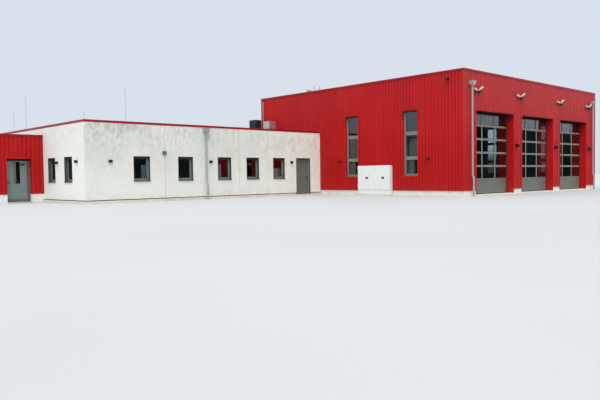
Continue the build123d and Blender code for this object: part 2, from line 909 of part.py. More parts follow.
def knuckle(axis, foot):
    """One knuckle of a hinge, standing on its axis."""
    with BuildSketch(Plane.XY.offset(foot)) as ring:
        with Locations(axis):
            RegularPolygon(knuckle_radius, knuckle_sides)
    extrude(ring.sketch, amount=knuckle_length)


def leaf_hinges(axis, side, face, levels):
    """Upper knuckles of a door in an XZ opening, each with its plate on the leaf's face."""
    for level in levels:
        foot = level + knuckle_length + knuckle_gap
        knuckle(axis, foot)
        sorted_slab(axis[0], axis[0] + side * hinge_plate, face - hinge_plate_thickness, face,
                    foot, foot + knuckle_length)


def frame_hinges(axis, side, leaf_face, face, levels):
    """Lower knuckles of the same door, each with a block back to the frame's face."""
    for level in levels:
        knuckle(axis, level)
        sorted_slab(axis[0] - side * door_gap / 2, axis[0] - side * hinge_plate,
                    leaf_face - hinge_plate_thickness, face, level, level + knuckle_length)


with BuildPart() as door_frames:
    with BuildSketch(across(entrance_face)):
        area(entrance_start, entrance_end, floor_level, entrance_head)
        area(entrance_start + jamb_width, entrance_end - entrance_fixed, floor_level,
             entrance_head - entrance_frame_head, mode=Mode.SUBTRACT)
    extrude(amount=-jamb_depth)
    frame_hinges(entrance_hinge, -1, entrance_leaf_face, entrance_face, entrance_levels)
    with BuildSketch(across(service_face)):
        area(service_start, service_end, floor_level, door_head)
        area(service_start + jamb_width, service_end - jamb_width, floor_level,
             door_head - service_frame_head, mode=Mode.SUBTRACT)
    extrude(amount=-jamb_depth)
    frame_hinges(service_hinge, 1, service_leaf_face, service_face, service_levels)
write(door_frames.part, "door_frames")

strip_middle = (entrance_leaf_left + entrance_leaf_right) / 2
strip_place = (strip_middle - strip_width / 2, strip_middle + strip_width / 2,
               strip_bottom, entrance_leaf_top - strip_head)
with BuildPart() as entrance_door:
    with BuildSketch(across(entrance_leaf_face)):
        area(entrance_leaf_left, entrance_leaf_right, floor_level + door_floor_gap,
             entrance_leaf_top)
        area(*strip_place, mode=Mode.SUBTRACT)
    extrude(amount=-door_thickness)
    leaf_hinges(entrance_hinge, -1, entrance_leaf_face, entrance_levels)
write(entrance_door.part, "entrance_door")

with BuildPart() as entrance_glass:
    strip_inset = (door_thickness - pane_thickness) / 2
    with BuildSketch(across(entrance_leaf_face + strip_inset)):
        area(*strip_place)
    extrude(amount=-pane_thickness)
write(entrance_glass.part, "entrance_glass")

with BuildPart() as service_door:
    with BuildSketch(across(service_leaf_face)):
        area(service_leaf_left, service_leaf_right, floor_level + door_floor_gap,
             service_leaf_top)
    extrude(amount=-door_thickness)
    leaf_hinges(service_hinge, 1, service_leaf_face, service_levels)
write(service_door.part, "service_door")


def plate(middle, width, height, corner):
    """A rectangle of the open sketch about its middle, with its corners cut off."""
    with Locations(middle):
        made = Rectangle(width, height)
    chamfer(made.vertices(), corner)


def lever_handle(x, face, side):
    """A rose plate on a leaf with a lever that turns from a short neck towards one side."""
    with BuildSketch(across(face)) as rose:
        plate((x, handle_height), rose_width, rose_height, rose_corner)
    extrude(rose.sketch, amount=rose_thickness)
    with BuildSketch(across(face - rose_thickness)) as neck:
        with Locations((x, handle_height)):
            RegularPolygon(lever_thickness / 2, knuckle_sides)
    extrude(neck.sketch, amount=lever_reach - rose_thickness)
    with BuildSketch(across(face - lever_reach + lever_thickness / 2)) as lever:
        plate((x + side * (lever_length - lever_thickness) / 2, handle_height),
              lever_length, lever_thickness, lever_corner)
    extrude(lever.sketch, amount=lever_thickness / 2)


with BuildPart() as entrance_fittings:
    lever_handle(entrance_leaf_left + handle_inset, entrance_leaf_face, 1)
    with BuildSketch(across(entrance_leaf_face)):
        closer_end = entrance_leaf_right - closer_inset
        closer_top = entrance_leaf_top - closer_drop
        area(closer_end - closer_length, closer_end, closer_top - closer_height, closer_top)
    extrude(amount=closer_depth)
write(entrance_fittings.part, "entrance_fittings")

with BuildPart() as service_handle:
    lever_handle(service_leaf_right - handle_inset, service_leaf_face, -1)
write(service_handle.part, "service_handle")


def rain_pipe(x, face, hopper_top, bend):
    """A hopper head, a round pipe with a swan-neck and a wider shoe, clamped to a wall."""
    hopper_foot = hopper_top - hopper_height
    upper = face - pipe_standoff
    lower = upper - pipe_offset
    with BuildSketch(Plane.XY.offset(hopper_foot)) as outlet:
        with Locations((x, upper)):
            Rectangle(outlet_size, outlet_size)
    with BuildSketch(Plane.XY.offset(hopper_top - hopper_bowl)) as bowl:
        with Locations((x, face - hopper_depth / 2)):
            Rectangle(hopper_width, hopper_depth)
    loft([outlet.sketch.face(), bowl.sketch.face()])
    extrude(bowl.sketch, amount=hopper_bowl)
    corners = [
        Vector(x, upper, hopper_foot), Vector(x, upper, bend),
        Vector(x, lower, bend - 2 * pipe_offset), Vector(x, lower, 0),
    ]
    route_points = corners[:1]
    for before, corner, after in zip(corners, corners[1:], corners[2:]):
        route_points += [
            corner + (end - corner).normalized() * elbow_reach for end in (before, after)
        ]
    with BuildLine() as route:
        Polyline(*route_points, corners[-1])
    with BuildSketch(Plane.XY.offset(hopper_foot)) as bore:
        with Locations((x, upper)):
            RegularPolygon(pipe_radius, pipe_sides)
    sweep(bore.sketch, path=route.wires()[0], transition=Transition.RIGHT)
    with BuildSketch() as shoe:
        with Locations((x, lower)):
            RegularPolygon(shoe_radius, pipe_sides)
    extrude(shoe.sketch, amount=bend / 2)
    for share in clamp_shares:
        level = bend + share * (hopper_foot - bend)
        with BuildSketch(Plane.XY.offset(level)) as clamp:
            with Locations((x, upper)):
                RegularPolygon(pipe_radius + clamp_margin, pipe_sides)
            area(x - clamp_margin, x + clamp_margin, upper, face)
        extrude(clamp.sketch, amount=clamp_height)


with BuildPart() as downpipes:
    for number, share in zip((0, bay_count), hall_pipe_shares):
        rain_pipe(on_pier(number, share), hall_front, hall_height - hall_hopper_drop,
                  hall_bend_height)
    rain_pipe(office_left + office_pipe_share * front_run, office_front,
              office_height - office_hopper_drop, office_bend_height)
write(downpipes.part, "downpipes")

# Twin floodlights on the garage front: a black box on a stub carries a short and a long bar
# head, and a black driver lies along the underside of the long one
floodlight_height = hall_height - floodlight_drop
floodlight_axis = hall_front - floodlight_stub - floodlight_box / 2
floodlight_places = [on_pier(number, share) for number, share in enumerate(floodlight_shares)]


def head_plane(x, side, tilt):
    """The plane across a bar head where it leaves the side of its box."""
    direction = Vector(side, 0, 0).rotate(Axis.Y, -side * tilt)
    pivot = (x + side * floodlight_box / 2, floodlight_axis, floodlight_height)
    return Plane(origin=pivot, x_dir=(0, side, 0), z_dir=direction)


with BuildPart() as floodlight_boxes:
    for x in floodlight_places:
        for width, height, reach in (
            (lamp_plate_width, lamp_plate_height, lamp_plate_thickness),
            (floodlight_stub_width, floodlight_stub_width, floodlight_stub),
        ):
            slab(x - width / 2, x + width / 2, hall_front - reach, hall_front,
                 floodlight_height - height / 2, floodlight_height + height / 2)
        slab(x - floodlight_box / 2, x + floodlight_box / 2, floodlight_axis - floodlight_box / 2,
             floodlight_axis + floodlight_box / 2, floodlight_height - floodlight_box_height / 2,
             floodlight_height + floodlight_box_height / 2)
        side, tilt, share = head_tilts[-1]
        with BuildSketch(head_plane(x, side, tilt)) as driver:
            with Locations((0, -(head_thickness + driver_thickness) / 2)):
                Rectangle(head_width, driver_thickness)
        extrude(driver.sketch, amount=driver_length)
write(floodlight_boxes.part, "floodlight_boxes")

with BuildPart() as floodlight_heads:
    for x in floodlight_places:
        for side, tilt, share in head_tilts:
            with BuildSketch(head_plane(x, side, tilt)) as bar:
                Rectangle(head_width, head_thickness)
            extrude(bar.sketch, amount=head_length * share)
        slab(x - floodlight_box / 2, x + floodlight_box / 2, floodlight_axis - head_width,
             floodlight_axis + head_width, floodlight_height - floodlight_box_height,
             floodlight_height + floodlight_box_height, mode=Mode.SUBTRACT)
write(floodlight_heads.part, "floodlight_heads")

# Black wedge lamps on the piers: two thick blades that meet away from the wall, on a back plate
wedge_notch = wedge_reach * (1 - 2 * wedge_blade / wedge_span)
with BuildPart() as wedge_lamps:
    for number in range(1, bay_count + 1):
        x = on_pier(number, wedge_share)
        slab(x - wedge_width / 2, x + wedge_width / 2, hall_front - lamp_plate_thickness,
             hall_front, wedge_height - wedge_plate_height / 2,
             wedge_height + wedge_plate_height / 2)
        with BuildSketch(along(x - wedge_width / 2)) as blades:
            with BuildLine():
                Polyline(
                    (hall_front, wedge_height + wedge_span / 2),
                    (hall_front - wedge_reach, wedge_height),
                    (hall_front, wedge_height - wedge_span / 2),
                    (hall_front, wedge_height - wedge_span / 2 + wedge_blade),
                    (hall_front - wedge_notch, wedge_height),
                    (hall_front, wedge_height + wedge_span / 2 - wedge_blade),
                    close=True,
                )
            make_face()
        extrude(blades.sketch, amount=wedge_width)
write(wedge_lamps.part, "wedge_lamps")

# Small box lamps on the walls, the box over the wing's first joint and the camera on the hall
office_side_run = porch_front - office_front
left_lamps = [
    *((office_left, office_front + share * office_side_run) for share in office_side_lamps),
    (hall_left, left_tall[0] - hall_lamp_gaps[0]),
    (hall_left, left_tall[-1] + tall_width + hall_lamp_gaps[-1]),
]
with BuildPart() as wall_lamps:
    low = wall_lamp_height - wall_lamp_tall / 2
    high = wall_lamp_height + wall_lamp_tall / 2
    for share in office_front_lamps:
        x = office_left + share * front_run
        slab(x - wall_lamp_width / 2, x + wall_lamp_width / 2,
             office_front - wall_lamp_reach, office_front, low, high)
    for face, y in left_lamps:
        slab(face - wall_lamp_reach, face, y - wall_lamp_width / 2, y + wall_lamp_width / 2,
             low, high)
    box_middle = joint_starts[0] - joint_box_shift
    slab(box_middle - joint_box / 2, box_middle + joint_box / 2,
         office_front - joint_box_reach, office_front,
         joint_box_height - joint_box / 2, joint_box_height + joint_box / 2)
    camera_level = hall_height - camera_drop
    camera_place = hall_front + camera_near
    slab(hall_left - camera_reach, hall_left, camera_place - camera_size / 2,
         camera_place + camera_size / 2, camera_level - camera_size / 2,
         camera_level + camera_size / 2)
write(wall_lamps.part, "wall_lamps")

# Two-door service cabinet against the hall's left side, its leaves hinged at the outer ends
cabinet_end = left_tall[-1] - cabinet_gap
cabinet_start = cabinet_end - cabinet_width
cabinet_face = hall_left - cabinet_depth
cabinet_middle = (cabinet_start + cabinet_end) / 2
leaf_face = cabinet_face - door_gap - cabinet_leaf
with BuildPart() as cabinet_body:
    slab(cabinet_face, hall_left, cabinet_start, cabinet_end, cabinet_feet, cabinet_height)
    slab(cabinet_face + cabinet_skin, hall_left, cabinet_start + cabinet_skin,
         cabinet_end - cabinet_skin, 0, cabinet_feet)
    for start, end in (
        (cabinet_start + cabinet_skin, cabinet_middle - cabinet_skin / 2),
        (cabinet_middle + cabinet_skin / 2, cabinet_end - cabinet_skin),
    ):
        slab(cabinet_face, hall_left - cabinet_skin, start, end,
             cabinet_base + cabinet_skin, cabinet_height - cabinet_skin, mode=Mode.SUBTRACT)
    for edge, way_out in ((cabinet_start, -1), (cabinet_end, 1)):
        for level in cabinet_levels:
            knuckle((leaf_face, edge + way_out * knuckle_radius), level)
            sorted_slab(leaf_face, cabinet_face + hinge_plate, edge,
                        edge + way_out * hinge_plate_thickness, level, level + knuckle_length)
write(cabinet_body.part, "cabinet_body")

for label, start, end, edge, way_out in (
    ("near", cabinet_start, cabinet_middle, cabinet_start, -1),
    ("far", cabinet_middle, cabinet_end, cabinet_end, 1),
):
    with BuildPart() as cabinet_door:
        with BuildSketch(along(leaf_face)):
            area(start + door_gap / 2, end - door_gap / 2, cabinet_base, cabinet_height)
        extrude(amount=cabinet_leaf)
        for level in cabinet_levels:
            foot = level + knuckle_length + knuckle_gap
            knuckle((leaf_face, edge + way_out * knuckle_radius), foot)
            sorted_slab(leaf_face - hinge_plate_thickness, leaf_face,
                        edge + way_out * knuckle_radius, edge - way_out * hinge_plate,
                        foot, foot + knuckle_length)
    write(cabinet_door.part, f"cabinet_door_{label}")
    with BuildPart() as cabinet_latch:
        with BuildSketch(along(leaf_face)) as latch:
            plate(((start + end) / 2 - latch_shift, latch_level), latch_width, latch_height,
                  latch_corner)
        extrude(latch.sketch, amount=-latch_reach)
    write(cabinet_latch.part, f"cabinet_latch_{label}")

# Roof equipment: a metal duct box beside the hall, a dark vent unit behind its corner
duct_back = hall_back - duct_setback + duct_depth
with BuildPart() as duct_box:
    slab(hall_left - duct_width, hall_left - trim_proud, duct_back - duct_depth, duct_back,
         office_roof_top, office_roof_top + duct_rise)
write(duct_box.part, "duct_box")

vent_front = hall_back - vent_lap
with BuildPart() as vent_unit:
    slab(hall_left - vent_gap - vent_width, hall_left - vent_gap, vent_front,
         vent_front + vent_depth, office_roof_top, office_roof_top + vent_rise)
write(vent_unit.part, "vent_unit")


def rod(place, foot, height, radius):
    """An upright rod or pipe of the open part."""
    with BuildSketch(Plane.XY.offset(foot)) as section:
        with Locations(place):
            RegularPolygon(radius, rod_sides)
    extrude(section.sketch, amount=height)


# Lightning rods in weight blocks on the wing, one on the corner of its capping, an earth
# conductor up the hall's side near its back corner, and the pipes through the hall's roof
with BuildPart() as lightning_rods:
    for from_left, from_edge, height in roof_rods:
        edge = office_front if from_edge > 0 else office_back
        place = (office_left + from_left, edge + from_edge)
        with BuildSketch(Plane.XY.offset(office_roof_top)) as block:
            plate(place, rod_block, rod_block, rod_block_corner)
        extrude(block.sketch, amount=rod_block_height)
        rod(place, office_roof_top, height, rod_radius)
    corner_x, corner_y, corner_rise = corner_rod
    rod((office_left + corner_x, office_front + corner_y), office_height, corner_rise, rod_radius)
    rod((hall_left - trim_proud - conductor_radius, hall_back - conductor_gap), office_roof_top,
        hall_height - conductor_gap - office_roof_top, conductor_radius)
    for from_left, from_back, height in roof_pipes:
        place = (hall_left + from_left, hall_back - from_back)
        rod(place, hall_roof_top, rod_block_height, roof_pipe_collar)
        rod(place, hall_roof_top, height, roof_pipe_radius)
    rod(place, hall_roof_top + height, cowl_thickness, cowl_radius)
write(lightning_rods.part, "lightning_rods")
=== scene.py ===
import math

import bmesh
import bpy
from mathutils import Matrix, Vector


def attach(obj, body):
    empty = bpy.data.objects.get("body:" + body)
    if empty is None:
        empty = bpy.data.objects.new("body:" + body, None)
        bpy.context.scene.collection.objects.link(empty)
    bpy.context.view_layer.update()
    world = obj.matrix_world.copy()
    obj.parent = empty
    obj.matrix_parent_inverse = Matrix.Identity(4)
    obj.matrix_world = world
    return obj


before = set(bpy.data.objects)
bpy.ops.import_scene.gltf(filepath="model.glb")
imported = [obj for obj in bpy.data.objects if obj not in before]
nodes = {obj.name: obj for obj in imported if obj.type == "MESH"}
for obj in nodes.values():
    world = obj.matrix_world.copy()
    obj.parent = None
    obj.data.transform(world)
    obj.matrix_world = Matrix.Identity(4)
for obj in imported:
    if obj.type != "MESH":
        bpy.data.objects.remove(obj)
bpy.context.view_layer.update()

# Plan of the station in metres: outer faces of the sheet and of the concrete
HALL_LEFT, HALL_RIGHT = -8.225, 8.225
HALL_FRONT, HALL_BACK = -8.1, 8.1
HALL_WIDTH, HALL_DEPTH = (HALL_LEFT, HALL_RIGHT), (HALL_FRONT, HALL_BACK)
HALL_TOP = 6.6
HALL_ROOF = 6.18
SHEET_FOOT, SHEET_TOP = 0.305, 6.58
OFFICE_LEFT, OFFICE_RIGHT = -23.755, -8.231
OFFICE_FRONT, OFFICE_BACK = 2.36, 14.86
OFFICE_WIDTH, OFFICE_DEPTH = (OFFICE_LEFT, OFFICE_RIGHT), (OFFICE_FRONT, OFFICE_BACK)
OFFICE_TOP = 3.975
OFFICE_ROOF = 3.645
PORCH_FRONT, PORCH_BACK = 7.295, 9.925
PORCH_TOP = 3.515
PORCH_ROOF = 3.365
FLOOR = 0.06

BAY_STARTS = (-7.05, -2.11, 2.83)
BAY_WIDTH, BAY_HEAD = 3.96, 4.5
BAY_LEAF = -0.45
BAY_PANE = -0.47
PANE_ROWS = [0.91 + 0.73 * row for row in range(5)]
PANE_HEIGHT = 0.63
PANE_COLUMNS = ((0.03, 1.26), (1.35, 2.61), (2.7, 3.93))
SECTION_JOINTS = (0.86, 1.59, 2.32, 3.05, 3.78)

TALL_WIDTH, TALL_FOOT, TALL_HEAD = 0.99, 1.105, 4.705
TALL_LIGHTS = ((1.17, 2.0575), (2.1325, 3.4325), (3.5075, 4.64))
LEFT_TALL = (-5.18, -0.85)
RIGHT_TALL = (-5.18, -0.85, 3.48)
BACK_TALL = (-5.565, -0.625, 4.315)
TALL_RECESS = 0.14

OFFICE_WINDOW, OFFICE_FOOT, OFFICE_HEAD = 0.92, 1.055, 2.28
OFFICE_RECESS = 0.16
FRONT_RUN = 13.45
FRONT_WINDOWS = [OFFICE_LEFT + share * FRONT_RUN
                 for share in (0.2201, 0.4104, 0.5981, 0.7472, 0.8959)]
PANEL_JOINTS = [OFFICE_LEFT + share * FRONT_RUN for share in (0.3175, 0.6743, 0.8312)]
JOINT_WIDTH, JOINT_DEPTH = 0.014, 0.012
SIDE_RUN = 4.935
NEAR_SIDE_WINDOWS = [OFFICE_FRONT + share * SIDE_RUN for share in (0.3769, 0.7882)]
FAR_SIDE_WINDOWS = [OFFICE_BACK - share * SIDE_RUN for share in (0.7882, 0.3769)]
WINDOW_FRAME = 0.065
SASH = 0.055
SASH_BACK = 0.014
WALL_BOX = -19.515

CABINET = (-3.43, -1.03)
CABINET_RIBS = 9
RIB_MARGIN = 0.08
RIB_START = CABINET[0] + RIB_MARGIN
RIB_PITCH = ((CABINET[1] - CABINET[0]) / 2 - 2 * RIB_MARGIN) / (CABINET_RIBS - 1)

RIB_VALLEY = -0.035
FRONT_RIBS, SIDE_RIBS = 78, 77
SHEET_ON_FRONT, SHEET_ON_SIDE = 1.0398, 1.0371
TRIM = 0.114


# ---- Places ----


def lay(run, rise, out, start):
    """The place whose (run, rise, outwards) point along these axes of the part."""
    place = Matrix.Identity(4)
    for column, axis in enumerate((run, rise, out, start)):
        for row in range(3):
            place[row][column] = axis[row]
    return place


def wall_place(along, face, outwards):
    """Lays (run, height, outwards) on an upright wall face."""
    if along == "x":
        return lay((1, 0, 0), (0, 0, 1), (0, outwards, 0), (0, face, 0))
    return lay((0, 1, 0), (0, 0, 1), (outwards, 0, 0), (face, 0, 0))


def shift(x, y, z):
    return Matrix.Translation((x, y, z))


def inside(span, margin):
    """A span, shorter by the margin at each end."""
    return span[0] + margin, span[1] - margin


ON_FRONT = wall_place("x", HALL_FRONT, -1)
ON_BACK = wall_place("x", HALL_BACK, 1)
ON_LEFT = wall_place("y", HALL_LEFT, -1)
ON_RIGHT = wall_place("y", HALL_RIGHT, 1)
ON_OFFICE_FRONT = wall_place("x", OFFICE_FRONT, -1)
ON_OFFICE_BACK = wall_place("x", OFFICE_BACK, 1)
ON_OFFICE_LEFT = wall_place("y", OFFICE_LEFT, -1)
ON_OFFICE_RIGHT = wall_place("y", OFFICE_RIGHT, 1)
ON_PORCH_FRONT = wall_place("x", PORCH_FRONT, -1)
UPRIGHT = Matrix.Identity(4)


# ---- Camera ----

EYE = (-36.5425, -25.9054, 1.1832)
YAW, PITCH, ROLL = 0.75354, -0.038106, -0.0141955
LENS, SENSOR = 37.716, 36


def aim_camera():
    ahead = Vector((math.sin(YAW) * math.cos(PITCH), math.cos(YAW) * math.cos(PITCH),
                    math.sin(PITCH)))
    level = Vector((math.cos(YAW), -math.sin(YAW), 0))
    up = level.cross(ahead)
    across = level * math.cos(ROLL) + up * math.sin(ROLL)
    upright = up * math.cos(ROLL) - level * math.sin(ROLL)
    data = bpy.data.cameras.new("eye_level_camera")
    data.sensor_width = SENSOR
    data.lens = LENS
    data.clip_end = 500
    camera = bpy.data.objects.new("eye_level_camera", data)
    camera.matrix_world = lay(across, upright, -ahead, EYE)
    bpy.context.scene.collection.objects.link(camera)
    bpy.context.scene.camera = camera


# ---- Finishes ----


def tone(red, green, blue):
    """A screen colour of 0 to 255 as the shader's colour."""
    return tuple(
        c / 12.92 if c <= 0.04045 else ((c + 0.055) / 1.055) ** 2.4
        for c in (red / 255, green / 255, blue / 255)
    ) + (1.0,)


class Finish:
    """A material with one principled shader, and patterns laid in the part's own space.

    Its body colour starts from two tones, takes one coat after another, and is closed by
    done(). Colours are written as screen tones of 0 to 255.
    """

    def __init__(self, name, roughness=0.5, metallic=0.0):
        self.material = bpy.data.materials.new(name)
        self.material.use_nodes = True
        self.tree = self.material.node_tree
        self.shader = self.tree.nodes["Principled BSDF"]
        self.set("Roughness", roughness)
        self.set("Metallic", metallic)
        self.where = self.node("TexCoord").outputs["Object"]
        split = self.node("SeparateXYZ")
        self.link(self.where, split.inputs[0])
        self.run_x, self.run_y, self.height = split.outputs
        self.body = None

    def node(self, kind):
        return self.tree.nodes.new("ShaderNode" + kind)

    def link(self, source, socket):
        self.tree.links.new(source, socket)

    def set(self, socket, value):
        self.shader.inputs[socket].default_value = value

    def feed(self, value, socket):
        if isinstance(value, bpy.types.NodeSocket):
            self.link(value, socket)
        elif isinstance(value, tuple):
            socket.default_value = tone(*value)
        else:
            socket.default_value = value

    def sized(self, patch, stretch=(1, 1, 1)):
        place = self.node("Mapping")
        place.inputs["Scale"].default_value = [s / patch for s in stretch]
        self.link(self.where, place.inputs["Vector"])
        return place.outputs["Vector"]

    def cloud(self, patch, detail, stretch=(1, 1, 1), twist=0.0):
        """Soft noise with patches of that size in metres."""
        noise = self.node("TexNoise")
        for socket, value in (("Scale", 1.0), ("Detail", detail), ("Distortion", twist)):
            noise.inputs[socket].default_value = value
        self.link(self.sized(patch, stretch), noise.inputs["Vector"])
        return noise.outputs["Fac"]

    def cells(self, patch):
        """Cells round scattered points that far apart in metres."""
        cell = self.node("TexVoronoi")
        cell.inputs["Scale"].default_value = 1.0
        self.link(self.sized(patch), cell.inputs["Vector"])
        return cell

    def math(self, kind, first, second=0.0):
        step = self.node("Math")
        step.operation = kind
        self.feed(first, step.inputs[0])
        self.feed(second, step.inputs[1])
        return step.outputs[0]

    def both(self, first, second):
        return self.math("MULTIPLY", first, second)

    def ramp(self, value, low, high, top=1.0, bottom=0.0):
        """The value's part between low and high, as bottom to top."""
        step = self.node("MapRange")
        self.link(value, step.inputs["Value"])
        for socket, end in (("From Min", low), ("From Max", high),
                            ("To Min", bottom), ("To Max", top)):
            step.inputs[socket].default_value = end
        return step.outputs["Result"]

    def patches(self, patch, detail, low, high, top=1.0, stretch=(1, 1, 1), twist=0.0):
        """Patches where the soft noise lies between low and high."""
        return self.ramp(self.cloud(patch, detail, stretch, twist), low, high, top)

    def rise(self, low, high, top=1.0):
        """How far up a point lies from one level to the other."""
        return self.ramp(self.height, low, high, top)

    def facing(self, axis):
        """How far the surface faces along an axis of the part."""
        split = self.node("SeparateXYZ")
        self.link(self.node("TexCoord").outputs["Normal"], split.inputs[0])
        return split.outputs[axis]

    def mix(self, share, first, second):
        step = self.node("Mix")
        step.data_type = "RGBA"
        self.feed(share, step.inputs["Factor"])
        self.feed(first, step.inputs[6])
        self.feed(second, step.inputs[7])
        return step.outputs[2]

    def start(self, share, first, second):
        self.body = self.mix(share, first, second)

    def coat(self, share, colour):
        self.body = self.mix(share, self.body, colour)

    def splash(self, top, foot, patch, low, high, share, colour):
        """Dirt in patches, from none at the top level to its whole share at the foot."""
        self.coat(self.both(self.rise(top, foot), self.patches(patch, 5, low, high, share)),
                  colour)

    def skin(self, patch, detail, dull, bright, low=0.3, high=0.7):
        """Roughness that wanders between bright and dull."""
        self.link(self.ramp(self.cloud(patch, detail), low, high, dull, bright),
                  self.shader.inputs["Roughness"])

    def relief(self, value, depth):
        step = self.node("Bump")
        step.inputs["Distance"].default_value = depth
        self.link(value, step.inputs["Height"])
        self.link(step.outputs["Normal"], self.shader.inputs["Normal"])

    def done(self):
        self.link(self.body, self.shader.inputs["Base Color"])
        return self.material

    def grained(self, patch, detail, depth):
        """Done, with a fine grain in relief."""
        self.relief(self.cloud(patch, detail), depth)
        return self.done()


def red_coat(name, roughness, deep, bright, weathering_and_sheen=1.0, painted_shade=0.0):
    """Red coil coating: each sheet a touch different, with vertical streaks, greyer high up.

    High up on the front it is paler, a painted sheen of the pale sky. Flashings take painted
    shade: darker towards the heads of the openings and nearly black on faces that look down.
    """
    made = Finish(name, roughness)
    made.set("Specular IOR Level", 0.2)
    sheet_x = made.math("FLOOR", made.math("DIVIDE", made.run_x, SHEET_ON_FRONT))
    sheet_y = made.math("FLOOR", made.math("DIVIDE", made.run_y, SHEET_ON_SIDE))
    batch = made.node("TexWhiteNoise")
    batch.noise_dimensions = "1D"
    made.link(made.math("ADD", made.both(sheet_x, 3.7), sheet_y), batch.inputs["W"])
    made.start(made.patches(2.6, 3, 0.35, 0.65), deep, bright)
    made.coat(made.ramp(batch.outputs["Value"], 0, 1, 0.3), deep)
    made.coat(made.patches(0.16, 4, 0.5, 0.8, 0.16 * weathering_and_sheen, (1, 1, 0.05)), (184, 70, 74))
    # painted sheen: the front face is paled from 2.6 m up
    made.coat(made.both(made.ramp(made.run_y, -7.9, -8.05),
                        made.rise(2.6, 5.4, 0.1 * weathering_and_sheen)), (178, 124, 128))
    made.coat(made.rise(4.2, 6.6, 0.05 * weathering_and_sheen), (150, 90, 96))
    made.splash(0.75, 0.3, 0.3, 0.4, 0.8, 0.3, (168, 84, 76))
    # painted shade for flashings: darker towards the opening heads, nearly black underneath
    if painted_shade:
        made.coat(made.rise(4.05, 4.5, 0.4), (96, 8, 12))
        made.coat(made.ramp(made.facing("Z"), -0.6, -0.9, painted_shade), (20, 5, 7))
    made.skin(0.5, 4, roughness + 0.08, roughness - 0.06)
    return made.grained(0.012, 2, 0.0006)


def cast_concrete(name, light, mid, dark, stain, pores, side_light_share=0.6,
                  side_light_colour=(250, 251, 248)):
    """Cast concrete: pale and softly clouded, with smears and fine runs near the top.

    The smears are heaviest at the wing's left end. Faces that look left take a share of a side
    colour as painted light: paler on the wing's walls, darker beige on the hall's plinth.
    """
    made = Finish(name, 0.85)
    made.start(made.patches(2.0, 4, 0.35, 0.65, twist=0.5), mid, light)
    made.coat(made.patches(0.5, 6, 0.5, 0.75, 0.35, twist=0.4), dark)
    made.coat(made.patches(0.16, 8, 0.42, 0.7, 0.35, (1, 1, 0.6)), dark)
    upper = made.rise(2.0, 3.4)
    smears = made.both(made.patches(0.2, 10, 0.42, 0.62, 1.0, (1, 1, 0.7), 0.4),
                       made.patches(0.9, 5, 0.36, 0.6))
    left_end = made.ramp(made.run_x, -18.5, -22.0, 0.72, 0.3)
    made.coat(made.both(made.both(smears, upper), left_end), stain)
    runs = made.both(made.patches(0.13, 5, 0.5, 0.75, 1.0, (1, 1, 0.1)), upper)
    made.coat(made.both(runs, 0.3), stain)
    made.coat(made.ramp(made.run_x, -15.5, -8.5, 0.8), (248, 253, 244))
    warm = made.both(made.ramp(made.run_x, -17.5, -11.0),
                     made.patches(0.42, 7, 0.47, 0.66, 0.4, twist=0.5))
    made.coat(warm, (204, 194, 166))
    # painted light: faces that look left are paler (walls) or darker (plinth) as light falls
    made.coat(made.ramp(made.facing("X"), -0.4, -0.9, side_light_share), side_light_colour)
    made.coat(made.rise(2.1, 0.8, 0.4), (246, 248, 242))
    made.splash(0.6, 0.1, 0.25, 0.4, 0.75, 0.5, (204, 198, 182))
    holes = made.cells(0.09).outputs["Distance"]
    made.coat(made.ramp(holes, 0.1, 0.05, pores), (140, 140, 134))
    made.skin(0.3, 4, 0.93, 0.78)
    made.relief(made.math("ADD", made.cloud(0.02, 4), made.ramp(holes, 0.05, 0.1)), 0.0015)
    return made.done()


def foot_concrete(name):
    """Cream foot of the wing, whitewashed round the porch."""
    made = Finish(name, 0.85)
    made.start(made.patches(0.9, 5, 0.35, 0.65), (226, 221, 206), (238, 234, 222))
    made.coat(made.ramp(made.run_x, -23.7, -23.85), (238, 240, 237))
    made.coat(made.patches(0.2, 6, 0.52, 0.8, 0.5), (204, 199, 184))
    made.splash(0.1, 0.0, 0.15, 0.35, 0.7, 0.6, (176, 168, 150))
    made.skin(0.3, 4, 0.93, 0.78)
    return made.grained(0.02, 4, 0.0012)


def leaf_paint(name, panel, rail, worn):
    """Bay leaf paint: the closed foot panel, and the paler rails between the panes."""
    made = Finish(name, 0.42)
    made.start(made.rise(0.87, 0.91), panel, rail)
    made.coat(made.patches(0.6, 5, 0.4, 0.7, 0.4), worn)
    made.splash(0.6, 0.06, 0.2, 0.35, 0.7, 0.35, (142, 136, 124))
    made.skin(0.36, 4, 0.5, 0.34)
    return made.grained(0.008, 2, 0.0005)


def painted(name, colour, worn, roughness, patch, amount=0.5):
    """Paint: soft patches and runs of a second tone, and a fine skin."""
    made = Finish(name, roughness)
    made.start(made.patches(patch, 5, 0.4, 0.7, amount), colour, worn)
    made.coat(made.patches(patch * 0.25, 4, 0.52, 0.8, amount * 0.6, (1, 1, 0.08)), worn)
    made.skin(patch * 0.6, 4, roughness + 0.1, roughness - 0.08)
    return made.grained(0.01, 2, 0.0004)


def cabinet_paint(name, colour, valley_shade, worn):
    """White cabinet paint, with painted shade greying the front between the pressed ribs."""
    made = Finish(name, 0.42)
    made.start(made.patches(0.5, 5, 0.4, 0.7, 0.4), colour, worn)
    # painted shade: the front is greyed between the pressed ribs
    rib = made.math("DIVIDE", made.math("ADD", made.run_y, -RIB_START), RIB_PITCH)
    away = made.math("ABSOLUTE", made.math("ADD", made.math("FRACT", rib), -0.5))
    flat = made.both(made.ramp(away, 0.24, 0.12), made.ramp(made.facing("X"), -0.5, -0.9))
    panel = made.both(made.rise(0.38, 0.4), made.rise(1.67, 1.65))
    made.coat(made.both(made.both(flat, panel), 0.45), valley_shade)
    made.splash(0.5, 0.0, 0.2, 0.35, 0.7, 0.35, (196, 194, 182))
    made.skin(0.3, 4, 0.5, 0.34)
    return made.grained(0.01, 2, 0.0004)


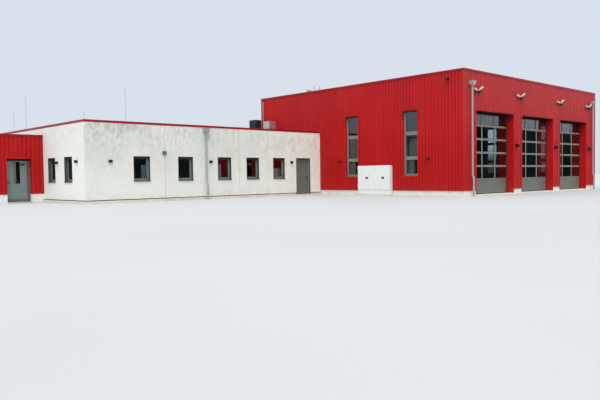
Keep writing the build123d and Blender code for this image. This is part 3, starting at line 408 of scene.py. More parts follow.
def lamp_paint(name, colour, worn, box, hood):
    """Black lamp housings; the square box on the wing's front is slate grey, paler on top."""
    made = Finish(name, 0.5)
    made.start(made.patches(0.08, 5, 0.4, 0.7, 0.5), colour, worn)
    away = made.math("ABSOLUTE", made.math("ADD", made.run_x, -WALL_BOX))
    slate = made.mix(made.rise(2.49, 2.55), box, hood)
    made.coat(made.ramp(away, 0.3, 0.2), slate)
    made.skin(0.05, 4, 0.6, 0.42)
    return made.grained(0.01, 2, 0.0004)


def zinc(name, colour, dull, metallic=0.75, roughness=0.42):
    """Galvanised sheet: spangle cells, dull patches and run marks."""
    made = Finish(name, roughness, metallic)
    shade = made.node("SeparateColor")
    made.link(made.cells(0.03).outputs["Color"], shade.inputs[0])
    made.start(made.ramp(shade.outputs[0], 0, 1, 0.35), colour, dull)
    made.coat(made.patches(0.35, 5, 0.45, 0.7, 0.55, (1, 1, 0.3)), dull)
    made.link(made.ramp(shade.outputs[1], 0, 1, roughness + 0.08, roughness - 0.08),
              made.shader.inputs["Roughness"])
    return made.grained(0.02, 3, 0.0004)


def pane_glass(name, high_tint_and_sky_reflection, low_tint_and_ground_reflection, split, coating, wing_coating=None):
    """Clear coated panes with painted reflections: paler and bluer high up, darker near the
    ground and in soft patches. The wing's panes are painted darker for the dim rooms behind
    them; those on the hall's right wall darker low down, for the dark hedge beyond, and near
    the front end.

    The coating is the index that sets how strongly a pane mirrors.
    """
    made = Finish(name, 0.0)
    made.set("Transmission Weight", 1.0)
    # painted reflection: paler and bluer high up, darker near the ground and in patches
    made.start(made.rise(*split), low_tint_and_ground_reflection, high_tint_and_sky_reflection)
    made.coat(made.patches(0.5, 4, 0.4, 0.75, 0.3), low_tint_and_ground_reflection)
    # painted shade: the wing's panes are darkened for the dim rooms behind them
    made.coat(made.ramp(made.run_x, -8.3, -8.5, 0.6), (110, 134, 140))
    # painted: the right wall's panes darken low down, for the dark hedge beyond, and near the
    # front
    right_wall = made.ramp(made.run_x, 7.8, 7.9)
    made.coat(made.both(right_wall, made.rise(3.1, 2.1)), (74, 92, 92))
    made.coat(made.both(right_wall, made.ramp(made.run_y, -3.0, -4.0, 0.9)), (92, 88, 96))
    made.set("IOR", coating)
    if wing_coating:
        made.link(made.ramp(made.run_x, -8.3, -8.5, wing_coating, coating),
                  made.shader.inputs["IOR"])
    made.skin(0.25, 3, 0.03, 0.0, 0.45, 0.8)
    return made.grained(0.9, 1, 0.001)


def rubber(name, colour, worn):
    made = Finish(name, 0.7)
    made.set("Specular IOR Level", 0.15)
    made.start(made.patches(0.06, 4, 0.35, 0.7, 0.6), colour, worn)
    made.skin(0.03, 3, 0.82, 0.6)
    return made.grained(0.004, 2, 0.0003)


def membrane(name):
    """Welded roof membrane: pale grey, water marks, grit."""
    made = Finish(name, 0.8)
    made.start(made.patches(1.8, 6, 0.4, 0.65, twist=0.5), (158, 160, 158), (176, 178, 175))
    made.coat(made.patches(3.2, 7, 0.5, 0.68, 0.4), (140, 138, 130))
    made.coat(made.ramp(made.cells(0.05).outputs["Distance"], 0.2, 0.1, 0.4), (118, 116, 110))
    return made.grained(0.03, 4, 0.001)


def block_render(name, pale, deep):
    """Rendered blockwork inside: faint courses under a coat that is painted dark grey, as
    painted shade of the dim hall.
    """
    made = Finish(name, 0.88)
    course = made.math("FRACT", made.math("DIVIDE", made.height, 0.25))
    line = made.math("MAXIMUM", made.ramp(course, 0.05, 0.0), made.ramp(course, 0.95, 1.0))
    made.start(made.patches(0.8, 5, 0.4, 0.65, 0.7), pale, deep)
    made.coat(made.both(line, 0.35), deep)
    made.relief(made.math("ADD", made.cloud(0.03, 4), made.both(line, -0.6)), 0.001)
    return made.done()


SHEET_RED = red_coat("profiled_sheet_red", 0.42, (177, 12, 16), (191, 19, 22))
TRIM_RED = red_coat("folded_trim_red", 0.38, (178, 16, 20), (190, 24, 27))
# painted shade: this red darkens over the opening heads and is nearly black underneath
FLASHING_RED = red_coat("flashing_red", 0.4, (190, 18, 21), (202, 25, 28), 0.3, 0.95)
CAPPING_RED = red_coat("capping_red", 0.34, (150, 16, 24), (166, 26, 34), 0.3)
CONCRETE = cast_concrete("wall_concrete_cast", (233, 234, 229), (224, 226, 220),
                         (204, 206, 199), (158, 160, 152), 0.3)
FOOT_CONCRETE = foot_concrete("foot_concrete_cast")
PLINTH_WHITE = cast_concrete("plinth_white_washed", (238, 238, 229), (222, 222, 211),
                             (194, 192, 178), (160, 158, 146), 0.3, 0.32, (188, 186, 164))
# painted shade: the floors and inside walls are painted darker than they are, for the dim rooms
FLOOR_SLAB = cast_concrete("floor_floated", (112, 112, 108), (98, 98, 94), (84, 84, 80),
                           (80, 79, 74), 0.2)
BLOCKWORK = block_render("blockwork_render", (84, 88, 88), (64, 68, 68))
LEAF_GREY = leaf_paint("bay_leaf_grey", (110, 115, 106), (144, 150, 136), (97, 101, 93))
FRAME_GREY = painted("door_frame_grey", (98, 106, 105), (80, 87, 86), 0.45, 0.3)
ENTRANCE_GREY = painted("entrance_leaf_grey", (122, 137, 137), (108, 121, 121), 0.4, 0.5)
SERVICE_GREY = painted("service_leaf_grey", (108, 114, 107), (98, 103, 96), 0.45, 0.5)
WINDOW_GREY = painted("window_frame_grey", (138, 142, 138), (118, 122, 118), 0.4, 0.3)
REVEAL_GREY = painted("window_reveal_grey", (86, 91, 88), (72, 76, 74), 0.5, 0.3)
JOINT_GREY = painted("joint_sealant_grey", (126, 124, 116), (104, 102, 96), 0.7, 0.1)
# black of the office blind boxes, and of the painted shade strips at the tall windows' heads
BLIND_AND_SHADE_BLACK = painted("blind_box_and_shade_black", (24, 28, 26), (36, 40, 38), 0.6, 0.2)
FITTING_BLACK = painted("fitting_black", (19, 20, 20), (34, 36, 35), 0.5, 0.08)
LAMP_BLACK = lamp_paint("lamp_housing_black", (19, 20, 20), (34, 36, 35), (82, 98, 100),
                        (140, 144, 140))
CABINET_WHITE = cabinet_paint("cabinet_white", (245, 250, 248), (196, 204, 202),
                              (234, 238, 235))
HEAD_CREAM = painted("floodlight_head_cream", (216, 218, 206), (192, 194, 182), 0.45, 0.1)
LENS_PALE = painted("lens_pale", (236, 236, 224), (216, 216, 204), 0.2, 0.08, 0.3)
VENT_DARK = painted("vent_unit_dark", (38, 48, 50), (54, 64, 64), 0.55, 0.3)
PIPE_ZINC = zinc("rain_pipe_zinc", (178, 186, 182), (150, 157, 154), 0.3, 0.5)
DUCT_ZINC = zinc("duct_zinc", (206, 208, 208), (172, 175, 176))
ROD_ZINC = zinc("rod_zinc", (196, 199, 200), (168, 171, 172), 0.2, 0.45)
SILL_METAL = zinc("sill_folded_metal", (112, 116, 114), (92, 96, 94), 0.6, 0.3)
STEEL = zinc("hinge_and_lever_steel", (186, 188, 188), (150, 152, 152), 0.85, 0.3)
RUBBER = rubber("seal_rubber", (12, 13, 13), (30, 31, 30))
ROOFING = membrane("roof_membrane_grey")
BAY_GLASS = pane_glass("bay_pane_glass", (222, 232, 236), (206, 220, 218), (1.0, 4.0), 1.6)
WINDOW_GLASS = pane_glass("window_pane_glass", (206, 222, 232), (190, 204, 200), (2.8, 3.6),
                          1.65, 1.95)

NODE_FINISHES = {
    SHEET_RED: ("hall_cladding", "porch_cladding"),
    TRIM_RED: ("hall_corner_trims",),
    FLASHING_RED: ("door_linings", "window_flashings"),
    CAPPING_RED: ("hall_capping", "office_capping"),
    CONCRETE: ("office_front_wall", "office_left_wall", "office_back_wall",
               "office_right_wall", "door_lintels"),
    FOOT_CONCRETE: ("office_plinth",),
    PLINTH_WHITE: ("hall_plinth",),
    FLOOR_SLAB: ("floor_slabs",),
    BLOCKWORK: ("hall_back_wall", "hall_left_wall", "hall_right_wall", "hall_front_header",
                "hall_front_piers", "porch_walls"),
    LEAF_GREY: ("bay_doors",),
    BAY_GLASS: ("bay_door_panes",),
    WINDOW_GLASS: ("window_panes", "entrance_glass"),
    FRAME_GREY: ("door_frames",),
    ENTRANCE_GREY: ("entrance_door",),
    SERVICE_GREY: ("service_door",),
    WINDOW_GREY: ("hall_window_frames", "office_window_frames"),
    SILL_METAL: ("window_sills",),
    FITTING_BLACK: ("entrance_fittings", "service_handle", "cabinet_latch_near",
                    "cabinet_latch_far", "floodlight_boxes", "wedge_lamps"),
    LAMP_BLACK: ("wall_lamps",),
    CABINET_WHITE: ("cabinet_body", "cabinet_door_near", "cabinet_door_far"),
    HEAD_CREAM: ("floodlight_heads",),
    VENT_DARK: ("vent_unit",),
    PIPE_ZINC: ("downpipes",),
    DUCT_ZINC: ("duct_box",),
    ROD_ZINC: ("lightning_rods",),
    ROOFING: ("flat_roofs",),
}


def dress_nodes():
    for finish, names in NODE_FINISHES.items():
        for name in names:
            for slot in nodes[name].material_slots:
                slot.material = finish


# ---- Shapes ----


def ease(shape, edges, offset, steps):
    """Bevels these edges."""
    bmesh.ops.bevel(shape, geom=edges, offset=offset, segments=steps, profile=0.5,
                    affect="EDGES", material=-1)


def block(shape, place, run, rise, out, edge=0.0, steps=1):
    """A block on a wall: (start, end) along it, up it and outwards, its edges eased."""
    spans = (run, rise, out)
    middle = Matrix.Translation([(a + b) / 2 for a, b in spans])
    size = Matrix.Diagonal([abs(b - a) for a, b in spans] + [1])
    made = bmesh.ops.create_cube(shape, size=1.0, matrix=place @ middle @ size)
    if edge:
        ease(shape, list({e for v in made["verts"] for e in v.link_edges}), edge, steps)


def drum(shape, place, radius, depth, sides=16, taper=1.0, edge=0.0):
    """A round boss that stands on its place, along the place's outward axis."""
    made = bmesh.ops.create_cone(
        shape, cap_ends=True, segments=sides, radius1=radius, radius2=radius * taper,
        depth=depth, matrix=place @ shift(0, 0, depth / 2))
    if edge:
        far = [v for v in made["verts"] if (place.inverted() @ v.co).z > depth * 0.6]
        rims = [e for e in {e for v in far for e in v.link_edges}
                if all(v in far for v in e.verts)]
        ease(shape, rims, edge, 2)


def ring(shape, place, run, rise, width, out, edge=0.0):
    """A four-sided rim on a wall, that wide inside the rectangle, between two depths."""
    middle = shift((run[0] + run[1]) / 2, (rise[0] + rise[1]) / 2, out[0])
    size = Matrix.Diagonal((run[1] - run[0], rise[1] - rise[0], 1, 1))
    made = bmesh.ops.create_grid(shape, x_segments=1, y_segments=1, size=0.5,
                                 matrix=place @ middle @ size)
    face = made["verts"][0].link_faces[0]
    inset = bmesh.ops.inset_region(shape, faces=[face], thickness=width, use_boundary=True,
                                   use_even_offset=True)
    bmesh.ops.delete(shape, geom=[face], context="FACES")
    lifted = bmesh.ops.extrude_face_region(shape, geom=inset["faces"], use_keep_orig=True)
    bmesh.ops.translate(
        shape, verts=[v for v in lifted["geom"] if isinstance(v, bmesh.types.BMVert)],
        vec=place.to_3x3() @ Vector((0, 0, out[1] - out[0])))
    if edge:
        tops = [e for e in lifted["geom"] if isinstance(e, bmesh.types.BMEdge)
                and len(e.link_faces) == 2 and e.calc_face_angle(0) > 0.5]
        ease(shape, tops, edge, 1)


def as_mesh(name, shape):
    mesh = bpy.data.meshes.new(name)
    shape.to_mesh(mesh)
    shape.free()
    return mesh


def repeat(shape, pattern, places):
    """The pattern mesh once at each place."""
    for place in places:
        before = len(shape.verts)
        shape.from_mesh(pattern)
        shape.verts.ensure_lookup_table()
        bmesh.ops.transform(shape, matrix=place, verts=shape.verts[before:])


def show(name, shape, finish):
    """The closed shape as an object with its finish."""
    mesh = as_mesh(name, shape)
    mesh.materials.append(finish)
    made = bpy.data.objects.new(name, mesh)
    bpy.context.scene.collection.objects.link(made)
    return made


def piece(name, shape, finish, body="building"):
    """Closes a shape as a piece of the station that rides on a body."""
    bmesh.ops.recalc_face_normals(shape, faces=shape.faces)
    made = show(name, shape, finish)
    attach(made, body)


def clear_runs(across, foot, top, openings, margin):
    """The heights between foot and top where a line up the wall misses every opening."""
    runs = [(foot, top)]
    for start, end, low, high in openings:
        if start - margin < across < end + margin:
            runs = [part for a, b in runs for part in ((a, min(b, low)), (max(a, high), b))
                    if part[1] - part[0] > 0.05]
    return runs


# ---- Red sheet ----

FLANGE = 0.07
BAY_HOLES = [(s - FLANGE, s + BAY_WIDTH + FLANGE, 0, BAY_HEAD + FLANGE) for s in BAY_STARTS]


def tall_holes(starts):
    return [(s - FLANGE, s + TALL_WIDTH + FLANGE, TALL_FOOT - FLANGE, TALL_HEAD + FLANGE)
            for s in starts]


CABINET_HOLE = (*inside(CABINET, -0.04), 0, 1.76)
OFFICE_HOLE = (OFFICE_FRONT - 0.02, HALL_BACK, 0, 4.05)
FRONT_SPAN, SIDE_SPAN = inside(HALL_WIDTH, TRIM), inside(HALL_DEPTH, TRIM)
SHEET_WALLS = (
    (ON_FRONT, FRONT_SPAN, FRONT_RIBS, BAY_HOLES),
    (ON_BACK, FRONT_SPAN, FRONT_RIBS, tall_holes(BACK_TALL)),
    (ON_LEFT, SIDE_SPAN, SIDE_RIBS, tall_holes(LEFT_TALL) + [CABINET_HOLE, OFFICE_HOLE]),
    (ON_RIGHT, SIDE_SPAN, SIDE_RIBS, tall_holes(RIGHT_TALL)),
)
SCREW_ROWS = (0.36, 1.55, 2.8, 4.05, 5.3, 6.42)
SCREW_CLEAR = 0.03
LAP_RIBS = 5
DRIP_REACH, DRIP_LIP = 0.01, 0.011


def fix_sheet():
    """Screws with washers in the valleys, side laps every few ribs."""
    screws, laps, screw = bmesh.new(), bmesh.new(), bmesh.new()
    drum(screw, UPRIGHT, 0.008, 0.002, 8)
    drum(screw, shift(0, 0, 0.002), 0.0046, 0.005, 6)
    pattern = as_mesh("screw_pattern", screw)
    for place, (start, end), ribs, holes in SHEET_WALLS:
        pitch = (end - start) / ribs
        spots = []
        for rib in range(1, ribs):
            across = start + rib * pitch
            clear = clear_runs(across, SHEET_FOOT, SHEET_TOP, holes, 0.02)
            for row, level in enumerate(SCREW_ROWS):
                if (rib + row) % 2 and row not in (0, len(SCREW_ROWS) - 1):
                    continue
                if any(low + SCREW_CLEAR < level < high - SCREW_CLEAR for low, high in clear):
                    spots.append(place @ shift(across, level, RIB_VALLEY))
            if rib % LAP_RIBS == 0:
                for rise in clear:
                    block(laps, place, (across - 0.019, across - 0.007), rise,
                          (RIB_VALLEY - 0.001, RIB_VALLEY + 0.0015))
        repeat(screws, pattern, spots)
    piece("cladding_screws", screws, SHEET_RED)
    piece("cladding_side_laps", laps, TRIM_RED)


def foot_drips():
    """The folded drip under the sheet, over the plinth."""
    drips = bmesh.new()
    edges = [HALL_LEFT, *(x for s in BAY_STARTS for x in inside((s, s + BAY_WIDTH), -0.012)),
             HALL_RIGHT]
    runs = [(ON_FRONT, run) for run in zip(edges[0::2], edges[1::2])]
    before, after = inside(CABINET, -0.03)
    runs += [(ON_BACK, HALL_WIDTH), (ON_RIGHT, HALL_DEPTH),
             (ON_LEFT, (HALL_FRONT, before)), (ON_LEFT, (after, OFFICE_FRONT))]
    for place, run in runs:
        block(drips, place, run, (SHEET_FOOT - 0.004, SHEET_FOOT), (-0.028, DRIP_REACH), 0.001)
        block(drips, place, run, (SHEET_FOOT - 0.02, SHEET_FOOT), (0.008, DRIP_LIP), 0.001)
    piece("cladding_foot_drips", drips, TRIM_RED)


# ---- Roof edges ----

CAP_OUT = 0.012
CAP_DRIP = 0.11
HALL_CAP = (HALL_TOP, CAP_OUT + 0.006, 0.357)
OFFICE_CAP = (OFFICE_TOP, CAP_OUT, 0.312)
STRAP_HALF, STRAP_SHEET = 0.05, 0.0015
HALL_PARAPET, OFFICE_PARAPET = 0.345, 0.3
ROLL_WIDTH = 1.5
OUTLETS = ((-7.605, -7.45, HALL_ROOF), (7.615, -7.45, HALL_ROOF),
           (-16.975, 2.95, OFFICE_ROOF))


def edge_straps():
    """Cover straps over the joints of the cappings, with rivets on the outer flank."""
    straps, rivets = bmesh.new(), bmesh.new()
    runs = (
        (ON_FRONT, HALL_WIDTH, HALL_CAP, 5),
        (ON_BACK, HALL_WIDTH, HALL_CAP, 5),
        (ON_LEFT, HALL_DEPTH, HALL_CAP, 5),
        (ON_RIGHT, HALL_DEPTH, HALL_CAP, 5),
        (ON_OFFICE_FRONT, (OFFICE_LEFT, HALL_LEFT), OFFICE_CAP, 5),
        (ON_OFFICE_BACK, OFFICE_WIDTH, OFFICE_CAP, 5),
        (ON_OFFICE_LEFT, OFFICE_DEPTH, OFFICE_CAP, 4),
        (ON_OFFICE_RIGHT, (HALL_BACK + 0.1, OFFICE_BACK), OFFICE_CAP, 2),
    )
    for place, (start, end), (top, out, inner), count in runs:
        for i in range(1, count + 1):
            across = start + (end - start) * i / (count + 1)
            span = (across - STRAP_HALF, across + STRAP_HALF)
            flank = (top - CAP_DRIP, top + STRAP_SHEET)
            block(straps, place, span, (top, top + STRAP_SHEET), (-inner, out + STRAP_SHEET),
                  0.0005)
            block(straps, place, span, flank, (out, out + STRAP_SHEET), 0.0005)
            block(straps, place, span, flank, (-inner - STRAP_SHEET, -inner), 0.0005)
            for side in (-0.035, 0.035):
                drum(rivets, place @ shift(across + side, top - 0.055, out + STRAP_SHEET),
                     0.005, 0.002, 8, 0.7)
    piece("capping_straps", straps, CAPPING_RED)
    piece("capping_rivets", rivets, ROD_ZINC)


def roof_fields():
    """Roofs: welded laps, turned-up edges and domed outlets."""
    laps, edges, outlets = bmesh.new(), bmesh.new(), bmesh.new()
    fields = (
        (inside(HALL_WIDTH, HALL_PARAPET), inside(HALL_DEPTH, HALL_PARAPET), HALL_ROOF,
         HALL_TOP - CAP_DRIP),
        (inside(OFFICE_WIDTH, OFFICE_PARAPET), inside(OFFICE_DEPTH, OFFICE_PARAPET),
         OFFICE_ROOF, OFFICE_TOP - CAP_DRIP),
        ((-25.965, OFFICE_LEFT), (7.54, 9.675), PORCH_ROOF, PORCH_TOP - CAP_DRIP),
    )
    for width, depth, level, rim in fields:
        left, right = width
        count = round((right - left) / ROLL_WIDTH)
        for i in range(1, count):
            x = left + (right - left) * i / count
            block(laps, UPRIGHT, (x - 0.03, x + 0.03), depth, (level - 0.001, level + 0.002))
        ring(edges, UPRIGHT, width, depth, 0.009, (level, max(rim, level + 0.03)))
        ring(edges, UPRIGHT, width, depth, 0.06, (level, level + 0.004))
    for spot in OUTLETS:
        at = shift(*spot)
        drum(outlets, at, 0.16, 0.008, 24, 0.97)
        for step in range(6):
            drum(outlets, at @ shift(0, 0, 0.006 + 0.018 * step),
                 0.1 * math.cos(step * math.pi / 12), 0.009, 16)
        for step in range(4):
            turn = Matrix.Rotation(step * math.pi / 4, 4, "Z")
            block(outlets, at @ turn, (-0.095, 0.095), (-0.004, 0.004), (0.005, 0.05), 0.001)
    piece("roof_membrane_laps", laps, ROOFING)
    piece("roof_membrane_upstands", edges, ROOFING)
    piece("roof_outlets", outlets, FITTING_BLACK)


# ---- Garage bays ----

SIDE_SEAL = 0.022


def bay_parts():
    """Pane gaskets, rubber strips round each leaf, and finger guards at its section joints.
    The head strip is drawn 0.11 m tall, a black band of painted shade under the lintel.
    """
    gaskets, seals_and_head_shade, guards = bmesh.new(), bmesh.new(), bmesh.new()
    for start in BAY_STARTS:
        for a, b in PANE_COLUMNS:
            for low in PANE_ROWS:
                ring(gaskets, ON_FRONT, (start + a, start + b), (low, low + PANE_HEIGHT),
                     0.013, (BAY_PANE, BAY_LEAF - 0.004))
        end = start + BAY_WIDTH
        for run in ((start, start + SIDE_SEAL), (end - SIDE_SEAL, end)):
            block(seals_and_head_shade, ON_FRONT, run, (FLOOR, BAY_HEAD), (BAY_LEAF, BAY_LEAF + 0.03), 0.004)
        # painted shade: the head strip is 0.11 m tall, standing for the shade under the lintel
        block(seals_and_head_shade, ON_FRONT, (start, end), (BAY_HEAD - 0.11, BAY_HEAD),
              (BAY_LEAF, BAY_LEAF + 0.035), 0.004)
        block(seals_and_head_shade, ON_FRONT, inside((start, end), SIDE_SEAL), (FLOOR, FLOOR + 0.035),
              (BAY_LEAF, BAY_LEAF + 0.02), 0.006, 2)
        for joint in SECTION_JOINTS:
            for rise in ((joint + 0.006, joint + 0.016), (joint - 0.016, joint - 0.006)):
                block(guards, ON_FRONT, inside((start, end), 0.03), rise,
                      (BAY_LEAF, BAY_LEAF + 0.005), 0.002)
    piece("bay_pane_gaskets", gaskets, RUBBER)
    piece("bay_edge_seals_and_head_shade", seals_and_head_shade, RUBBER)
    piece("bay_finger_guards", guards, LEAF_GREY)


# ---- Windows ----

LINING = 0.012
BLIND_FOOT = OFFICE_HEAD - 0.1


def pane_gaskets(gaskets, place, run, light, recess):
    """The gasket round the pane inside the sash, and the seal between sash and frame."""
    out = -recess - SASH_BACK
    ring(gaskets, place, inside(run, WINDOW_FRAME + SASH), inside(light, SASH), 0.009,
         (out - 0.022, out + 0.003))
    ring(gaskets, place, inside(run, WINDOW_FRAME), light, 0.006, (out - 0.002, out + 0.004))


def window_parts():
    gaskets, reveals, blinds_and_head_shade, pins = (bmesh.new() for _ in range(4))
    for place, starts in ((ON_LEFT, LEFT_TALL), (ON_RIGHT, RIGHT_TALL), (ON_BACK, BACK_TALL)):
        for start in starts:
            run = (start, start + TALL_WIDTH)
            for light in TALL_LIGHTS:
                pane_gaskets(gaskets, place, run, light, TALL_RECESS)
            # painted shade: a black strip at the head of each tall window stands for the shade
            # under it
            block(blinds_and_head_shade, place, inside(run, 0.004), (TALL_HEAD - 0.085, TALL_HEAD),
                  (-TALL_RECESS, -TALL_RECESS + 0.05), 0.005, 2)
    offices = (
        (ON_OFFICE_FRONT, FRONT_WINDOWS), (ON_OFFICE_BACK, FRONT_WINDOWS),
        (ON_OFFICE_LEFT, NEAR_SIDE_WINDOWS + FAR_SIDE_WINDOWS),
        (ON_OFFICE_RIGHT, FAR_SIDE_WINDOWS),
    )
    light = inside((OFFICE_FOOT, OFFICE_HEAD), WINDOW_FRAME)
    depth = (-OFFICE_RECESS, 0.003)
    for place, middles in offices:
        for middle in middles:
            a, b = middle - OFFICE_WINDOW / 2, middle + OFFICE_WINDOW / 2
            pane_gaskets(gaskets, place, (a, b), light, OFFICE_RECESS)
            for run in ((a, a + LINING), (b - LINING, b)):
                block(reveals, place, run, (OFFICE_FOOT + 0.02, OFFICE_HEAD), depth, 0.002)
            block(reveals, place, (a, b), (OFFICE_HEAD - LINING, OFFICE_HEAD), depth, 0.002)
            block(blinds_and_head_shade, place, inside((a, b), LINING), (BLIND_FOOT, OFFICE_HEAD - LINING),
                  (-OFFICE_RECESS, -0.03), 0.006, 2)
            block(blinds_and_head_shade, place, inside((a, b), 0.03), (OFFICE_HEAD - 0.112, BLIND_FOOT),
                  (-0.12, -0.07), 0.004)
            for level in (OFFICE_FOOT + 0.2, OFFICE_HEAD - 0.3):
                drum(pins, place @ shift(a + 0.045, level, -OFFICE_RECESS), 0.007, 0.003, 10,
                     0.8)
    piece("window_gaskets", gaskets, RUBBER)
    piece("window_reveal_linings", reveals, REVEAL_GREY)
    piece("window_blind_boxes_and_head_shade", blinds_and_head_shade, BLIND_AND_SHADE_BLACK)
    piece("window_frame_plugs", pins, REVEAL_GREY)


# ---- Concrete joints ----

WALL_FOOT = 0.17
RAIL_BACK = 0.026


def joint_parts():
    """Sealant in the joints of the wing's front, and a dark rail under its walls that stands
    for the shadow line there, as painted shade.
    """
    sealant, rails = bmesh.new(), bmesh.new()
    for start in PANEL_JOINTS:
        block(sealant, ON_OFFICE_FRONT, (start, start + JOINT_WIDTH), (WALL_FOOT, 3.86),
              (-JOINT_DEPTH, -0.005), 0.001)
    before, after = inside(SERVICE, -0.001)
    runs = (
        (ON_OFFICE_FRONT, OFFICE_LEFT + RAIL_BACK, before),
        (ON_OFFICE_FRONT, after, OFFICE_RIGHT),
        (ON_OFFICE_LEFT, OFFICE_FRONT + RAIL_BACK, PORCH_FRONT),
        (ON_OFFICE_LEFT, PORCH_BACK, OFFICE_BACK - RAIL_BACK),
        (ON_OFFICE_BACK, OFFICE_LEFT + RAIL_BACK, OFFICE_RIGHT - RAIL_BACK),
        (ON_OFFICE_RIGHT, HALL_BACK + 0.01, OFFICE_BACK - RAIL_BACK),
    )
    # painted shade: a black strip along each wall's foot, as the shadow line under it
    for place, *run in runs:
        block(rails, place, run, (WALL_FOOT - 0.034, WALL_FOOT), (-RAIL_BACK, -0.009), 0.002)
    piece("panel_joint_sealant", sealant, JOINT_GREY)
    piece("wall_foot_shade_rails", rails, RUBBER)


# ---- Doors ----

ENTRANCE = (-25.6015, -24.3685)
ENTRANCE_LEAF = (-25.5455, -24.5245)
ENTRANCE_OUT = -0.26
STRIP = ((-25.19, -24.88), (0.985, 2.11))
SERVICE = (-10.305, -9.115)
SERVICE_HEAD = 2.279
SERVICE_LEAF = (-10.249, -9.171)
SERVICE_OUT = -0.15
SERVICE_LINING = 0.004
LOCK_AT, LOCK_LEVEL = -9.231, 0.94


def door_parts():
    heads, kick, gasket, lining, lock, bar = (bmesh.new() for _ in range(6))
    # painted shade: the black strips under both door heads stand for the shade under the
    # lintels
    block(heads, ON_PORCH_FRONT, ENTRANCE, (2.172, 2.264), (-0.27, -0.252), 0.003)
    block(heads, ON_OFFICE_FRONT, SERVICE, (2.222, SERVICE_HEAD), (-0.16, -0.142), 0.003)
    block(heads, ON_PORCH_FRONT, (-24.516, -24.498), (0.07, 2.168), (-0.27, -0.2675), 0.001)
    piece("door_head_seals_and_shade", heads, RUBBER)
    block(kick, ON_PORCH_FRONT, inside(ENTRANCE_LEAF, 0.02), (0.08, 0.2),
          (ENTRANCE_OUT, ENTRANCE_OUT + 0.002), 0.0008)
    block(kick, ON_PORCH_FRONT, inside(ENTRANCE_LEAF, 0.012), (0.2, 0.212),
          (ENTRANCE_OUT, ENTRANCE_OUT + 0.006), 0.002)
    piece("entrance_kick_plate", kick, FRAME_GREY, "entrance_leaf")
    ring(gasket, ON_PORCH_FRONT, *STRIP, 0.012, (ENTRANCE_OUT - 0.02, ENTRANCE_OUT + 0.003))
    piece("entrance_strip_gasket", gasket, RUBBER, "entrance_leaf")
    clear = inside(SERVICE, SERVICE_LINING)
    depth = (-0.142, 0.003)
    for run in ((SERVICE[0], clear[0]), (clear[1], SERVICE[1])):
        block(lining, ON_OFFICE_FRONT, run, (FLOOR, SERVICE_HEAD), depth, 0.001)
    block(lining, ON_OFFICE_FRONT, clear, (SERVICE_HEAD - SERVICE_LINING, SERVICE_HEAD), depth,
          0.001)
    piece("service_reveal_lining", lining, REVEAL_GREY)
    rose = ON_OFFICE_FRONT @ shift(LOCK_AT, LOCK_LEVEL, SERVICE_OUT)
    drum(lock, rose, 0.026, 0.009, 24, 0.92)
    drum(lock, rose @ shift(0, 0, 0.009), 0.009, 0.003, 16, 0.9)
    piece("service_lock_rose", lock, STEEL, "service_leaf")
    block(bar, ON_OFFICE_FRONT, inside(SERVICE_LEAF, 0.01), (0.075, 0.1),
          (SERVICE_OUT, SERVICE_OUT + 0.012), 0.004, 2)
    piece("service_weather_bar", bar, SERVICE_GREY, "service_leaf")


# ---- Cabinet ----

CABINET_OUT = 0.241
CABINET_TOP = 1.715
RIB_FOOT, RIB_TOP, RIB_HALF = 0.4, CABINET_TOP - 0.06, 0.022
GRIP_OUT = CABINET_OUT + 0.021
LATCH_LEVEL, LATCH_RISE, LATCH_RUN = 1.02, 0.05, 0.09


def cabinet_parts():
    """Pressed ribs that leave the latches free, latch grips, the lid and the door sill."""
    middle = (CABINET[0] + CABINET[1]) / 2
    for name, start, end in (("near", CABINET[0], middle), ("far", middle, CABINET[1])):
        leaf = f"cabinet_leaf_{name}"
        ribs, grip = bmesh.new(), bmesh.new()
        latch = (start + end) / 2 - 0.1
        for i in range(CABINET_RIBS):
            at = start + RIB_MARGIN + RIB_PITCH * i
            runs = [(RIB_FOOT, RIB_TOP)]
            if abs(at - latch) < LATCH_RUN + 0.04:
                runs = [(RIB_FOOT, LATCH_LEVEL - LATCH_RISE - 0.03),
                        (LATCH_LEVEL + LATCH_RISE + 0.03, RIB_TOP)]
            for rise in runs:
                block(ribs, ON_LEFT, (at - RIB_HALF, at + RIB_HALF), rise,
                      (CABINET_OUT, CABINET_OUT + 0.003), 0.0025)
        piece(f"cabinet_ribs_{name}", ribs, CABINET_WHITE, leaf)
        block(grip, ON_LEFT, (latch - 0.06, latch + 0.03),
              (LATCH_LEVEL - 0.012, LATCH_LEVEL + 0.012), (GRIP_OUT, CABINET_OUT + 0.03),
              0.004, 2)
        drum(grip, ON_LEFT @ shift(latch + 0.055, LATCH_LEVEL, GRIP_OUT), 0.013, 0.005, 20,
             0.9)
        piece(f"cabinet_latch_grip_{name}", grip, STEEL, leaf)
    lid = bmesh.new()
    block(lid, ON_LEFT, inside(CABINET, -0.012), (CABINET_TOP, CABINET_TOP + 0.013),
          (0.0, 0.212), 0.004, 2)
    block(lid, ON_LEFT, inside(CABINET, -0.004), (0.33, 0.338), (0.205, 0.232), 0.002)
    piece("cabinet_lid_and_sill", lid, CABINET_WHITE)


# ---- Lamps ----

FLOODLIGHTS = (-7.0547, -2.5, 2.5948, 6.8646)
FLOODLIGHT_OUT, FLOODLIGHT_LEVEL = -8.21, 5.53
# side, tilt in degrees, and where along the arm the head starts and ends
HEADS = ((-1, 15, 0.05, 0.3456), (1, 28, 0.285, 0.48))
HEAD_HALF = 0.03
LAMP_FOOT = 1.9525
WALL_LAMPS = (
    (ON_OFFICE_FRONT, (-22.485, -16.655, -10.715)),
    (ON_OFFICE_LEFT, (3.21, 5.5)),
    (ON_LEFT, (-5.86, 0.62)),
)
WEDGES = (-2.8842, 2.0558, 7.0914)
WEDGE_LEVEL = 2.74


